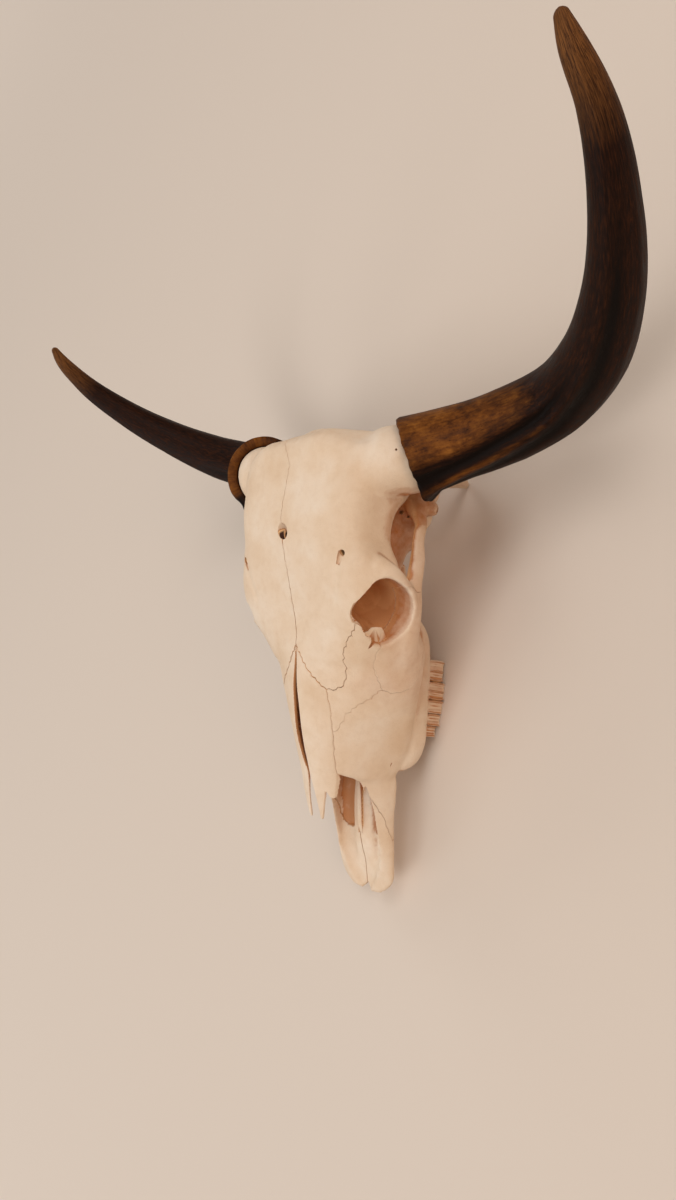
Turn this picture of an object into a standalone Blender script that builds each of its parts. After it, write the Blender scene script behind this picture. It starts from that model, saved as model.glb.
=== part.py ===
"""Yak skull with its horn sheaths, life size, resting on its upper cheek teeth.

Every size below is in millimetres and becomes metres when a mesh is made.
+X is the animal's left, +Y runs back to the poll, -Y to the muzzle, +Z is up.
X = 0 is the skull's middle plane and Z = 0 is the grinding plane of the teeth,
which is also the level that the skull rests on. Y = 0 lies just in front of the eyes.

The bones are modelled as one body of lofts, sweeps and ellipsoids, fused and hollowed,
then parted along their sutures with cuts as wide as GAP.
"""
import math

import bmesh
import bpy
import numpy as np
from mathutils import Vector

MM = 0.001
CENTRE_Y = 33.4           # the model's origin is below the middle of its whole length, at this Y of the tables
GAP = 0.34                # clear width between neighbouring bones
VOXEL = 2.4               # grain that the bone masses are fused at
SMOOTHING = 6             # passes that soften the fused joints
SKULL_TRIANGLES = 5000    # triangles of the fused bones, before they are parted

# ---------------------------------------------------------------- sizes of the skull
# Sections of the brow, from the eyes to the poll, each two half superellipses:
# y, top z, half-width, z of the widest line, upper exponent, lowest z, lower exponent
BROW = [
    (-34, 168, 80, 118, 2.1, 84, 2.0),
    (-8, 174.5, 95, 124, 3.0, 92, 2.0),
    (12, 180.5, 104, 138, 4.2, 104, 2.0),
    (35, 188.5, 109, 143, 4.8, 112, 2.0),
    (50, 194, 109, 144, 4.6, 118, 2.0),
    (66, 199.5, 106, 144, 4.3, 120, 2.0),
    (86, 206.5, 97, 150, 4.4, 124, 2.0),
    (102, 211, 96, 151, 4.5, 124, 2.0),
    (120, 212.5, 99, 150, 4.6, 122, 2.0),
    (140, 214, 105, 142, 4.0, 108, 2.0),
    (160, 216.5, 111, 150, 3.2, 98, 2.2),
    (175, 217, 112, 150, 3.0, 96, 2.4),
    (186, 213, 104, 146, 2.4, 92, 2.4),
    (195, 200, 90, 138, 2.3, 90, 2.6),
    (201, 176, 74, 130, 2.6, 88, 2.4),
]
# Sections of the face, from the tip of the nasals to the back of the upper jaw, the same way
FACE = [
    (-204, 114, 30, 92, 2.6, 62, 2.0),
    (-196, 117, 34, 86, 2.5, 54, 2.2),
    (-172, 126, 37.5, 72, 2.4, 44, 3.0),
    (-150, 134, 42, 64, 2.3, 42, 3.0),
    (-125, 144.5, 52, 58, 2.15, 38, 3.0),
    (-105, 152, 60, 60, 2.05, 36, 2.6),
    (-82, 159, 71, 72, 1.95, 36, 2.3),
    (-60, 165.5, 83, 82, 1.82, 36, 2.0),
    (-34, 170, 94, 92, 1.88, 38, 1.9),
    (-8, 174.5, 99, 100, 2.5, 42, 1.9),
    (12, 176, 86, 98, 2.8, 46, 1.9),
    (30, 168, 66, 96, 2.3, 52, 2.0),
    (44, 150, 46, 94, 2.0, 62, 2.0),
]
# The raised floor between the two nose passages, in sections of the same kind
PALATE = [
    (-256, 34.5, 13, 31, 2.6, 28, 2.0),
    (-250, 36, 15, 32, 2.8, 28.5, 2.4),
    (-243, 38, 16, 33, 2.8, 29, 2.6),
    (-230, 44.5, 17, 35, 2.6, 31, 3.0),
    (-217, 50, 17.5, 38, 2.6, 34, 3.0),
    (-200, 53, 17.5, 42, 2.6, 38.5, 3.0),
    (-170, 58, 17, 46, 2.6, 41, 3.0),
    (-140, 61, 15, 49, 2.4, 44, 3.0),
    (-120, 60, 11, 50, 2.2, 46, 3.0),
]
PALATE_HALF = 18         # the premaxillae's middle plates reach out to here
PALATE_BACK = -141       # and back to here
PALATE_LIP = [(36, -209, 42, 2, 2.4), (27, -210, 43, 2, 2.4), (18.9, -210, 44.5, 1.8, 2.4)]
# Sections of the muzzle, from the front of the premaxillae to the upper jaw
MUZZLE = [
    (-274, 34.5, 20, 31, 2.2, 28, 2.0),
    (-266, 38, 33, 32, 2.4, 27, 2.4),
    (-256, 43, 40.5, 33, 2.2, 27, 2.5),
    (-240, 54, 42, 37, 2.0, 30, 3.0),
    (-214, 69, 42, 43, 2.0, 35, 4.0),
    (-190, 86, 41, 46, 2.0, 38, 4.0),
    (-172, 101, 41, 47, 2.0, 39, 4.0),
    (-150, 118, 42, 50, 2.0, 41, 4.0),
    (-138, 120, 40, 52, 2.0, 44, 4.0),
]
# The nose passage: the same kind of sections, a wall's thickness inside the face
PASSAGE = [
    (-275, 140, 16, 60, 3.0, 32, 2.2),
    (-262, 140, 25, 60, 3.0, 33, 2.4),
    (-247, 140, 28, 60, 3.0, 34.5, 3.0),
    (-240, 140, 31, 60, 3.0, 36, 3.5),
    (-214, 140, 34, 56, 2.6, 41, 4.0),
    (-190, 132, 34.5, 58, 2.4, 45, 4.5),
    (-168, 127, 34.5, 62, 2.3, 48, 4.5),
    (-150, 128, 35, 64, 2.3, 49, 3.6),
    (-125, 139.5, 36, 74, 2.4, 50, 2.8),
    (-105, 147.5, 34, 84, 2.4, 52, 2.6),
    (-82, 154.5, 33, 90, 2.4, 56, 2.4),
    (-60, 160, 31, 96, 2.3, 62, 2.2),
    (-38, 160, 26, 104, 2.2, 72, 2.0),
    (-26, 146, 16, 112, 2.0, 88, 2.0),
]

EYE_CENTRE = Vector((101, 20, 151))
EYE_AXIS = Vector((0.891, -0.403, 0.208)).normalized()     # looks out, forward and a little up
EYE_RIM = 4.2            # half the rim's thickness
EYE_DEPTH = 74
EYE_APEX = 13            # radius of the socket's inner end
# the eye's opening: angle in degrees from the front, over the top, radius, and how stout the rim is there
EYE_OUTLINE = [(0, 30.5, 0.7), (27, 26.5, 0.4), (50, 29.5, 0.35), (62, 31, 0.35), (95, 26, 0.45), (115, 26.6, 0.5),
               (148, 33, 0.65), (163, 33, 0.85), (196, 29.8, 1), (230, 30.4, 1), (264, 31, 1), (298, 32, 1),
               (333, 34.5, 0.95)]
# the socket and the thin bone round it: depth along the axis, added radius, part of the round inner shape
SOCKET_STEPS = [(14, 7, 0), (5, 2.6, 0), (0, 0.4, 0), (-6, 0, 0.1), (-16, -1, 0.3), (-30, -3, 0.6), (-48, -3, 0.9),
                (-66, -1, 1), (-74, -3, 1)]
CUP_STEPS = [(-8, 3.6, 0.12), (-18, 3.6, 0.35), (-32, 2.2, 0.65), (-48, 2, 0.9), (-60, 3, 1)]

# Paths of the bars and processes: x, y, z, half-thickness across, half-thickness upright
CHEEK_BAR = [
    (74, -50, 84, 8, 13), (92, -20, 103, 8, 13), (103, 8, 111.5, 6.5, 11), (107, 30, 115, 6, 10.5),
    (110, 50, 117.5, 4, 8), (109.5, 75, 115, 3.2, 7), (104, 97, 114, 3, 7), (97, 112, 109, 4.5, 8.5),
    (84, 128, 103, 8, 11), (72, 142, 98, 10, 15),
]
EYE_BAR = [(104, 64, 172, 7, 9), (112, 57, 154, 6, 8), (112, 47, 136, 5.5, 7), (109, 36, 120, 6, 8)]
PARACONDYLE = [(58, 172, 94, 15, 18), (60, 180, 66, 8, 15), (59, 185, 40, 5.5, 12), (56, 187.5, 18, 4.5, 8.5),
               (54, 188.5, 0, 4, 5.5)]
BASE_BAR = [(0, 206, 58, 24, 11), (0, 160, 56, 20, 10), (0, 110, 62, 15, 12), (0, 40, 78, 14, 22)]
TOOTH_RIDGE = [(40, -134, 46, 7, 7), (44, -123, 37, 9, 14), (45, -108, 34, 11, 18), (45, -90, 37, 12, 21),
               (45, -60, 40, 13, 22), (45, -20, 45, 13, 23), (44, 4, 50, 12.5, 22), (43, 18, 58, 10.5, 18),
               (42, 30, 66, 8, 12)]
EAR_TUBE = [(60, 142, 96, 14, 14), (78, 139, 88, 10.5, 11), (90, 136, 80, 6, 7)]
# Ellipsoids: centre, then half-axes along x, y and z
BRAIN = ((0, 116, 114), (63, 90, 60))
OCCIPUT = ((0, 170, 118), (88, 33, 56))
TEMPLE = ((0, 118, 80), (66, 30, 32))
MASTOID = ((70, 158, 92), (19, 22, 26))
CONDYLE = ((26, 202, 66), (12.5, 16, 20))
CONDYLE_FOOT = ((17.5, 201, 50), (14, 15, 9))
BULLA = ((42, 142, 58), (11, 20, 17))
PROTUBERANCE = ((0, 202, 158), (13, 6, 16))
NECK_RIDGE = ((0, 201, 126), (4, 5, 24))
POLL_CREST = [(-64, 189, 168, 5, 5), (-34, 198.5, 178, 5, 4.5), (0, 202, 182, 6, 5), (34, 198.5, 178, 5, 4.5),
              (64, 189, 168, 5, 5)]
HAMULUS = [(21, 84, 66, 3.5, 16), (20, 60, 56, 3, 15), (20, 40, 46, 3, 10)]

# ---------------------------------------------------------------- sizes of the horns
HORN_RIM = {1: (119, 168, 147, 41.8), -1: (121, 179, 157, 43.5)}   # middle and radius of each sheath's rim
HORN_LIP = {1: 0.06, -1: 0.22}                # how far the rim's front juts out, as a part of its radius
HORN_LINE = [                            # x, y, z, radius along the horn's middle line, beyond the rim
    (179.8, 194, 114.7, 35.3), (238.9, 220.4, 99.3, 31.9), (292.6, 234.7, 128.8, 28.8), (334.6, 252.3, 173.2, 23.8),
    (371, 277.5, 233.2, 17.7), (392.7, 308.4, 295.8, 11.8), (393.9, 329.8, 329.8, 7), (393.6, 337.3, 337.4, 4.4),
]
HORN_SIDES = 20
HORN_RINGS = 23
HORN_RIDGE = 0.022                            # depth of the long ridges, as a part of the radius
SOCKET_WALL = 8.5                             # thickness of the sheath at its rim
SOCKET_DEPTH = 62
SOCKET_TAPER = 0.72
CORE = [(84, 158, 164, 34), (104, 166, 158, 34)]    # x, y, z, radius of the bone core, up to the sheath
CORE_IN_SOCKET = [(-7, 2.5), (12, 3), (46, 3.5)]    # depth past the rim, clearance to the socket's wall

# ---------------------------------------------------------------- outlines of the bones
# x, y of the left side, seen from above; the right side is their mirror image
NASAL_EDGE = [(0.2, -20), (7, -30), (17, -44), (27, -54), (36, -61), (36, -80), (34, -105), (30.5, -130),
              (28.5, -148), (27.3, -157), (26.5, -164), (25.8, -169.3), (23.6, -171.6), (21.2, -170.4), (19.4, -167),
              (18, -164.6), (16.8, -172), (14, -183), (11.6, -192), (9.6, -195.6), (7.4, -194.3), (6.9, -187),
              (5.6, -176)]
NASAL_MIDDLE = {1: [(0.9, -150), (0.2, -120)],         # the left one is straight, the right one has sprung away
                -1: [(0.9, -147), (3.4, -134), (6, -118), (6.8, -104), (5.6, -84), (3.2, -60), (1.2, -38)]}
NASAL_SLOT = [(0, -19.7), (7, -29.7), (17.2, -43.7), (27.2, -53.6), (36.2, -60.7), (36.3, -80), (34.3, -105),
              (30.8, -130), (28.8, -149), (28.8, -300), (0, -300)]
NASAL_THICK = 4.2
LACRIMAL_EDGE = [(36.3, -60.6), (45, -60), (52, -55), (56, -44), (58, -34), (63, -22), (71, -11), (84, 2), (96, 10),
                 (118, 14), (118, -60), (76, -60), (70, -63), (62, -68), (53, -75), (44, -84), (38, -96), (33, -103),
                 (35.5, -80)]
LACRIMAL_THICK = 9
FRONTAL_EDGE = [(0, -19.7), (7, -29.7), (17.2, -43.7), (27.2, -53.6), (36.2, -60.7), (45, -60), (52, -55), (56, -44),
                (58, -34), (63, -22), (71, -11), (84, 2), (96, 10), (150, 20), (150, 260), (0, 260)]
FRONTAL_LEVEL = 118       # the brow bone reaches down to here in front of the eyes
JAW_BACK = 37             # the upper jaw ends here, under the eye
# y, z of the left side, seen from beside it
CHEEK_EDGE = [(46, 138), (-11, 139), (-22, 138), (-34, 133), (-46, 124), (-55, 115), (-57, 106), (-55, 97),
              (-50, 89), (-38, 84), (-10, 83), (20, 87), (40, 92), (56, 99), (57, 106), (50, 112), (44, 115),
              (43, 120), (46, 128)]
MUZZLE_EDGE = [(-146, 126), (-153, 93), (-162, 84), (-174, 70), (-188, 57), (-204, 48), (-211, 43), (-213, 0),
               (-300, 0), (-300, 126)]
NOTCH_EDGE = [(-145, 150), (-146, 118), (-149, 100), (-153, 94.5), (-164, 87), (-188, 72), (-214, 61), (-232, 53),
              (-245, 45), (-300, 45), (-300, 150)]
VOMER_EDGE = [(-222, 46), (-200, 55.5), (-170, 61), (-120, 72), (-66, 86), (-66, 58), (-120, 49), (-158, 47),
              (-195, 45), (-215, 42)]
VOMER_HALF = 3.0
FISSURE = [(18.2, -213), (20.8, -214), (21.6, -226), (20, -238), (17.6, -246.5), (15.9, -245.5), (17.4, -237),
           (18.4, -226)]
FRONT_NOTCH = [(0, -264.5), (3.5, -269), (8, -274.5), (8, -285), (-8, -285), (-8, -274.5), (-3.5, -269)]

# ---------------------------------------------------------------- sizes of the teeth
# name, length along the jaw, width across, outer ribs, height of the crown above the grinding plane
TEETH = [("P2", 12, 12.5, 1, 4), ("P3", 13.5, 14.5, 1, 0), ("P4", 15, 17, 1, 0), ("M1", 20, 18.5, 2, 0),
         ("M2", 24, 19, 2, 4)]
TOOTH_FRONT = -98.5
TOOTH_GAP = 0.9
TOOTH_ROOT = 36
TOOTH_LINE = [(-104, 42.5), (-85, 43), (-60, 43.3), (-30, 42), (10, 40)]     # y, x of the row's middle


# ---------------------------------------------------------------- modelling helpers
def catmull(values, positions, where):
    """Smooth value at each place in where, through values given at rising positions."""
    values = np.asarray(values, float)
    positions = np.asarray(positions, float)
    slopes = np.gradient(values, positions, axis=0)
    index = np.clip(np.searchsorted(positions, where) - 1, 0, len(positions) - 2)
    step = (positions[index + 1] - positions[index])[:, None]
    t = ((where - positions[index]) / step[:, 0])[:, None]
    a, b = values[index], values[index + 1]
    u, v = slopes[index] * step, slopes[index + 1] * step
    return a * (2 * t**3 - 3 * t**2 + 1) + u * (t**3 - 2 * t**2 + t) + b * (3 * t**2 - 2 * t**3) + v * (t**3 - t**2)


def new_object(name, points, faces):
    """Mesh object from points in the tables' millimetres."""
    mesh = bpy.data.meshes.new(name)
    mesh.from_pydata([(x * MM, (y - CENTRE_Y) * MM, z * MM) for x, y, z in points], [], faces)
    bm = bmesh.new()
    bm.from_mesh(mesh)
    bmesh.ops.recalc_face_normals(bm, faces=bm.faces)
    bm.to_mesh(mesh)
    bm.free()
    obj = bpy.data.objects.new(name, mesh)
    bpy.context.scene.collection.objects.link(obj)
    return obj


def skin_rings(name, rings):
    """Closed body over rings of the same number of points, with flat ends."""
    count = len(rings[0])
    points = [p for ring in rings for p in ring]
    faces = [tuple(range(count))[::-1], tuple(range(len(points) - count, len(points)))]
    for r in range(len(rings) - 1):
        for k in range(count):
            a, b = r * count + k, r * count + (k + 1) % count
            faces += [(a, b, b + count), (a, b + count, a + count)]
    return new_object(name, points, faces)


def power(value, exponent):
    return math.copysign(abs(value) ** exponent, value)


def loft(name, table, step=4.0, sides=44):
    """Body over the superellipse sections of a table such as BROW."""
    table = np.array(table, float)
    count = max(2, int((table[-1, 0] - table[0, 0]) / step))
    rings = []
    for y, top, wide, level, upper, low, lower in catmull(
            table, table[:, 0], np.linspace(table[0, 0], table[-1, 0], count)):
        ring = []
        for k in range(sides):
            angle = 2 * math.pi * (k + 0.5) / sides
            c, s = math.cos(angle), math.sin(angle)
            height, n = (top - level, upper) if s > 0 else (level - low, lower)
            ring.append((wide * power(c, 2 / n), y, level + height * power(s, 2 / n)))
        rings.append(ring)
    return skin_rings(name, rings)


def sweep(name, path, side=1, sides=16, step=6.0):
    """Body swept along a path of x, y, z and two half-thicknesses, the second one upright."""
    path = np.array(path, float)
    path[:, 0] *= side
    run = np.concatenate([[0], np.cumsum(np.linalg.norm(np.diff(path[:, :3], axis=0), axis=1))])
    fine = catmull(path, run, np.linspace(0, run[-1], max(3, int(run[-1] / step))))
    tangents = np.gradient(fine[:, :3], axis=0)
    rings = []
    for (x, y, z, across, upright), tangent in zip(fine, tangents):
        along = Vector(tangent).normalized()
        up = Vector((0, 0, 1)) if abs(along.z) < 0.8 else Vector((0, 1, 0))
        beside = along.cross(up).normalized()
        up = beside.cross(along)
        centre = Vector((x, y, z))
        rings.append([centre + beside * across * math.cos(a) + up * upright * math.sin(a)
                      for a in (2 * math.pi * k / sides for k in range(sides))])
    return skin_rings(name, rings)


def ellipsoid(name, shape, side=1):
    (x, y, z), half = shape
    bm = bmesh.new()
    bmesh.ops.create_icosphere(bm, subdivisions=4, radius=1)
    points = [(side * x + v.co.x * half[0], y + v.co.y * half[1], z + v.co.z * half[2]) for v in bm.verts]
    faces = [tuple(v.index for v in f.verts) for f in bm.faces]
    bm.free()
    return new_object(name, points, faces)


def cone(name, start, end, start_radius, end_radius, sides=22, squash=1.0, side=1):
    """Round bar between two points; squash flattens it upright."""
    start, end = Vector(start), Vector(end)
    start.x *= side
    end.x *= side
    along = (end - start).normalized()
    up = Vector((0, 0, 1)) if abs(along.z) < 0.8 else Vector((0, 1, 0))
    beside = along.cross(up).normalized()
    up = beside.cross(along)
    rings = [[centre + (beside * math.cos(a) + up * math.sin(a) * squash) * radius
              for a in (2 * math.pi * k / sides for k in range(sides))]
             for centre, radius in ((start, start_radius), (end, end_radius))]
    return skin_rings(name, rings)


def settle(obj):
    """Makes the object's modified shape its own."""
    depsgraph = bpy.context.evaluated_depsgraph_get()
    mesh = bpy.data.meshes.new_from_object(obj.evaluated_get(depsgraph))
    obj.modifiers.clear()
    old = obj.data
    obj.data = mesh
    bpy.data.meshes.remove(old)
    return obj


def remove(objects):
    for obj in list(objects):
        mesh = obj.data
        bpy.data.objects.remove(obj)
        bpy.data.meshes.remove(mesh)


def combine(obj, others, operation, solver="MANIFOLD"):
    """One Boolean of the object with a collection of closed bodies, which are then removed.

    MANIFOLD is the solver, as EXACT leaves slivers where many of these bodies touch along a face.
    """
    group = bpy.data.collections.new("group")
    for other in others:
        group.objects.link(other)
    modifier = obj.modifiers.new("combine", "BOOLEAN")
    modifier.operation = operation
    modifier.solver = solver
    modifier.operand_type = "COLLECTION"
    modifier.collection = group
    settle(obj)
    remove(others)
    bpy.data.collections.remove(group)
    return obj


def largest(obj):
    """Keeps only the object's largest closed surface."""
    bm = bmesh.new()
    bm.from_mesh(obj.data)
    seen, islands = set(), []
    for start in bm.verts:
        if start in seen:
            continue
        island, queue = [], [start]
        seen.add(start)
        while queue:
            vert = queue.pop()
            island.append(vert)
            for edge in vert.link_edges:
                other = edge.other_vert(vert)
                if other not in seen:
                    seen.add(other)
                    queue.append(other)
        islands.append(island)
    islands.sort(key=len)
    for island in islands[:-1]:
        bmesh.ops.delete(bm, geom=island, context="VERTS")
    bm.to_mesh(obj.data)
    bm.free()
    return obj


def soften(obj, voxel, passes, triangles):
    """Fuses the body at a grain, smooths it and thins it to a number of triangles."""
    remesh = obj.modifiers.new("fuse", "REMESH")
    remesh.mode = "VOXEL"
    remesh.voxel_size = voxel * MM
    smooth = obj.modifiers.new("smooth", "SMOOTH")
    smooth.factor = 0.5
    smooth.iterations = passes
    settle(obj)
    obj.data.update()
    thin = obj.modifiers.new("thin", "DECIMATE")
    thin.ratio = min(1.0, triangles / (2 * len(obj.data.polygons)))
    thin.use_collapse_triangulate = True
    return largest(settle(obj))


def copy_of(obj, name):
    copy = bpy.data.objects.new(name, obj.data.copy())
    bpy.context.scene.collection.objects.link(copy)
    return copy


def finish_bone(obj, material):
    largest(obj)
    obj.data.materials.clear()
    obj.data.materials.append(material)
    obj.data.shade_smooth()
    obj.data.set_sharp_from_angle(angle=math.radians(40))
    return obj


def make_material(name, colour, roughness):
    material = bpy.data.materials.new(name)
    material.use_nodes = True
    shader = material.node_tree.nodes["Principled BSDF"]
    shader.inputs["Base Color"].default_value = (*colour, 1)
    shader.inputs["Roughness"].default_value = roughness
    shader.inputs["Metallic"].default_value = 0
    return material


def grown(outline, by):
    """The outline with each side moved out by a distance."""
    area = sum(a[0] * b[1] - b[0] * a[1] for a, b in zip(outline, outline[1:] + outline[:1]))
    sign = 1 if area > 0 else -1
    moved = []
    for before, here, after in zip(outline[-1:] + outline[:-1], outline, outline[1:] + outline[:1]):
        first = Vector((here[1] - before[1], before[0] - here[0])).normalized() * sign
        second = Vector((after[1] - here[1], here[0] - after[0])).normalized() * sign
        corner = (first + second) / max(0.35, 1 + first.dot(second))
        moved.append((here[0] + corner.x * by, here[1] + corner.y * by))
    return moved


def plan_block(outline, low, high, side, by=0.0):
    """Upright block over an outline in plan."""
    outline = [(side * x, y) for x, y in grown(outline, by)]
    return skin_rings("block", [[(x, y, z) for x, y in outline] for z in (low, high)])


def side_block(outline, near, far, side, by=0.0, slope=0.0):
    """Block across the skull from near to far, over an outline seen from beside; slope turns its near end."""
    outline = grown(outline, by)
    return skin_rings("block", [[(side * (near + slope * y), y, z) for y, z in outline],
                                [(side * far, y, z) for y, z in outline]])


def inner_face(depth):
    """The face's own loft, a depth inside its surface."""
    rows = [(y, top - depth, wide - depth, level, upper, low - 30, lower)
            for y, top, wide, level, upper, low, lower in FACE]
    rows[0] = (rows[0][0] - 40, *rows[0][1:])
    return loft("inner_face", rows, step=9, sides=28)


# ---------------------------------------------------------------- eye sockets
def eye_shape(side, angle):
    """Middle of the eye's opening, its axis, the direction at an angle, and the opening's radius and rim there."""
    flip = Vector((side, 1, 1))
    axis = EYE_AXIS * flip
    up = (Vector((0, 0, 1)) - axis * axis.z).normalized()
    front = up.cross(axis) * -side
    table = np.array(EYE_OUTLINE + [(a + 360, r, s) for a, r, s in EYE_OUTLINE[:3]], float)
    radius, stout = catmull(table[:, 1:], table[:, 0], np.array([max(angle, 0.01)]))[0]
    return EYE_CENTRE * flip, axis, front * math.cos(math.radians(angle)) + up * math.sin(math.radians(angle)), radius, stout


def eye_body(name, side, steps, sides=36):
    """Body along the eye's axis: the opening's own outline outside, narrowing to a round end."""
    rings = []
    for depth, wider, blend in steps:
        ring = []
        for k in range(sides):
            centre, axis, out, radius, stout = eye_shape(side, 360 * k / sides)
            round_radius = 29 - (29 - EYE_APEX) * max(0, -depth) / EYE_DEPTH
            widen = wider * (stout if depth > 0 else 1)
            ring.append(centre + axis * depth + out * ((1 - blend) * radius + blend * round_radius + widen))
        rings.append(ring)
    return skin_rings(name, rings)


def eye_rim(side, sides=40, tube=10):
    """Raised rim round the eye's opening, stoutest behind and below."""
    points, faces = [], []
    for k in range(sides):
        centre, axis, out, radius, stout = eye_shape(side, 360 * k / sides)
        half = EYE_RIM * stout
        for j in range(tube):
            b = 2 * math.pi * j / tube
            points.append(centre + out * (radius + 0.8 * half + half * math.cos(b)) + axis * half * math.sin(b))
            faces.append((k * tube + j, (k + 1) % sides * tube + j,
                          (k + 1) % sides * tube + (j + 1) % tube, k * tube + (j + 1) % tube))
    return new_object("eye_rim", points, faces)


# ---------------------------------------------------------------- the bones' common body
def bone_masses():
    """Face, muzzle, braincase, cheek bars and processes, still overlapping."""
    parts = [loft("face", [row for row in FACE if row[0] >= -150]), loft("muzzle", MUZZLE),
             ellipsoid("brain", BRAIN), ellipsoid("occiput", OCCIPUT), ellipsoid("temple", TEMPLE),
             sweep("base", BASE_BAR), sweep("poll_crest", POLL_CREST), ellipsoid("protuberance", PROTUBERANCE),
             ellipsoid("neck_ridge", NECK_RIDGE)]
    for side in (1, -1):
        parts += [
            sweep("cheek_bar", CHEEK_BAR, side),
            sweep("eye_bar", EYE_BAR, side),
            sweep("paracondyle", PARACONDYLE, side),
            sweep("tooth_ridge", TOOTH_RIDGE, side),
            sweep("ear_tube", EAR_TUBE, side),
            sweep("hamulus", HAMULUS, side),
            bone_core(side),
            ellipsoid("mastoid", MASTOID, side),
            ellipsoid("condyle", CONDYLE, side),
            ellipsoid("bulla", BULLA, side),
            ellipsoid("condyle_foot", CONDYLE_FOOT, side),
            eye_rim(side),
            eye_body("eye_cup", side, CUP_STEPS),
        ]
    return parts


def openings():
    """Nose passage and notch, eye sockets, foramen magnum and the smaller holes."""
    cuts = [loft("passage", PASSAGE, step=9, sides=24),
            side_block(NOTCH_EDGE, -60, 60, 1),
            cone("foramen_magnum", (0, 225, 64), (0, 165, 76), 19, 14),
            cone("bolt_hole", (0.5, 91.5, 226), (0.5, 91.5, 182), 7.2, 6, sides=16),
            plan_block(FRONT_NOTCH, 0, 60, 1),
            cone("choana", (0, 66, 60), (0, 8, 56), 13, 10, squash=1.2)]
    for side in (1, -1):
        cuts.append(eye_body("eye_socket", side, SOCKET_STEPS, 28))
        cuts.append(sheath_room(side))
        cuts.append(plan_block(FISSURE, 0, 60, side))
        cuts.append(cone("brow_hole", (84, 60, 214), (79, 77, 180), 3.6, 2.6, sides=8, side=side))
        cuts.append(cone("cheek_hole", (58, -150, 60), (38, -114, 67), 5.0, 3.2, sides=8, side=side))
        cuts.append(cone("ear_hole", (100, 134, 74), (74, 140, 91), 3.6, 2.8, sides=8, side=side))
    return cuts


# ---------------------------------------------------------------- teeth and horns
def tooth(name, front, length, width, ribs, crown, side):
    """One cheek tooth: ribbed outside, two lobed inside, flat where it grinds."""
    middle = front + length / 2
    line = np.array(TOOTH_LINE, float)
    x_middle = catmull(line[:, 1:], line[:, 0], np.array([middle]))[0, 0]
    steps = 6
    outline = []
    for k in range(steps + 1):
        t = k / steps
        rib = abs(math.sin(math.pi * t * ribs)) ** 1.5
        outline.append((width / 2 - 1.9 * rib, (t - 0.5) * length))
    for k in range(steps + 1):
        t = 1 - k / steps
        lobe = abs(math.sin(math.pi * t * min(ribs, 2))) ** 0.7
        outline.append((-width / 2 + 3.2 * (1 - lobe), (t - 0.5) * length * 0.94))
    rings = [[(side * (x_middle + x * scale + tilt), middle + y * scale, z) for x, y in outline]
             for z, scale, tilt in ((crown, 0.97, 0), (max(crown + 4, 14), 1, 0.7), (TOOTH_ROOT, 0.86, 1.6))]
    return skin_rings(name, rings)


def teeth(side):
    row, front = [], TOOTH_FRONT
    for name, length, width, ribs, crown in TEETH:
        row.append(tooth(name, front, length - TOOTH_GAP, width, ribs, crown, side))
        front += length
    return row


def horn_rings(side, extra=0.0, count=None):
    """Ridged rings along the horn, the first of them at the sheath's rim, all larger by extra."""
    line = np.array([HORN_RIM[side]] + HORN_LINE, float)
    run = np.concatenate([[0], np.cumsum(np.linalg.norm(np.diff(line[:, :3], axis=0), axis=1))])
    fine = catmull(line, run, run[-1] * np.linspace(0, 1, HORN_RINGS) ** 0.92)
    tangents = [Vector(t).normalized() for t in np.gradient(fine[:, :3], axis=0)]
    beside = tangents[0].cross(Vector((0, 0, 1))).normalized()
    rings = []
    for row, ((x, y, z, radius), along) in enumerate(zip(fine[:count], tangents)):
        beside = (beside - along * beside.dot(along)).normalized()
        up = beside.cross(along)
        centre = Vector((x, y, z)) - along * (extra if row == 0 else 0)
        ring = []
        for k in range(HORN_SIDES):
            a = 2 * math.pi * k / HORN_SIDES
            lip = HORN_LIP[side] * max(0, math.cos(a)) ** 6 * max(0, 1 - row / 3)
            r = extra + radius * (1 + HORN_RIDGE * math.cos(5 * a + 0.6) + lip)
            p = centre + (beside * math.cos(a) + up * math.sin(a)) * r
            ring.append((side * p.x, p.y, p.z))
        rings.append(ring)
    return rings


def socket_point(side, depth):
    """Middle and radius of the horn's socket at a depth past the rim."""
    rim = Vector(HORN_RIM[side][:3])
    along = (Vector(HORN_LINE[0][:3]) - rim).normalized()
    radius = (HORN_RIM[side][3] - SOCKET_WALL) * (1 - (1 - SOCKET_TAPER) * depth / SOCKET_DEPTH)
    return rim + along * depth, radius


def socket(side, less=0.0, more_depth=0.0):
    start, start_radius = socket_point(side, -4 - more_depth)
    end, end_radius = socket_point(side, SOCKET_DEPTH + more_depth)
    return cone("socket", start, end, start_radius - less, end_radius - less, side=side)


def bone_core(side):
    """Stub of the brow that the sheath sits on."""
    path = [(*row, row[3]) for row in CORE]
    for depth, clear in CORE_IN_SOCKET:
        centre, radius = socket_point(side, depth)
        path.append((*centre, radius - clear, radius - clear))
    return sweep("core", path, side, sides=24)


def sheath_room(side):
    """The sheath's wall with a little air round it, for cutting the bone clear of it."""
    return combine(skin_rings("room", horn_rings(side, 0.5, 8)), [socket(side, 0.5, 20)], "DIFFERENCE")


def horn(name, side):
    """Curved, ridged sheath with a blind socket round the bone core."""
    return combine(skin_rings(name, horn_rings(side)), [socket(side)], "DIFFERENCE")


# ---------------------------------------------------------------- build
for old in list(bpy.data.objects):
    bpy.data.objects.remove(old)

BONE = make_material("bone", (0.71, 0.54, 0.38), 0.62)
TOOTH_BONE = make_material("tooth_bone", (0.68, 0.50, 0.34), 0.5)
HORN = make_material("horn", (0.09, 0.045, 0.022), 0.45)

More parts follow.
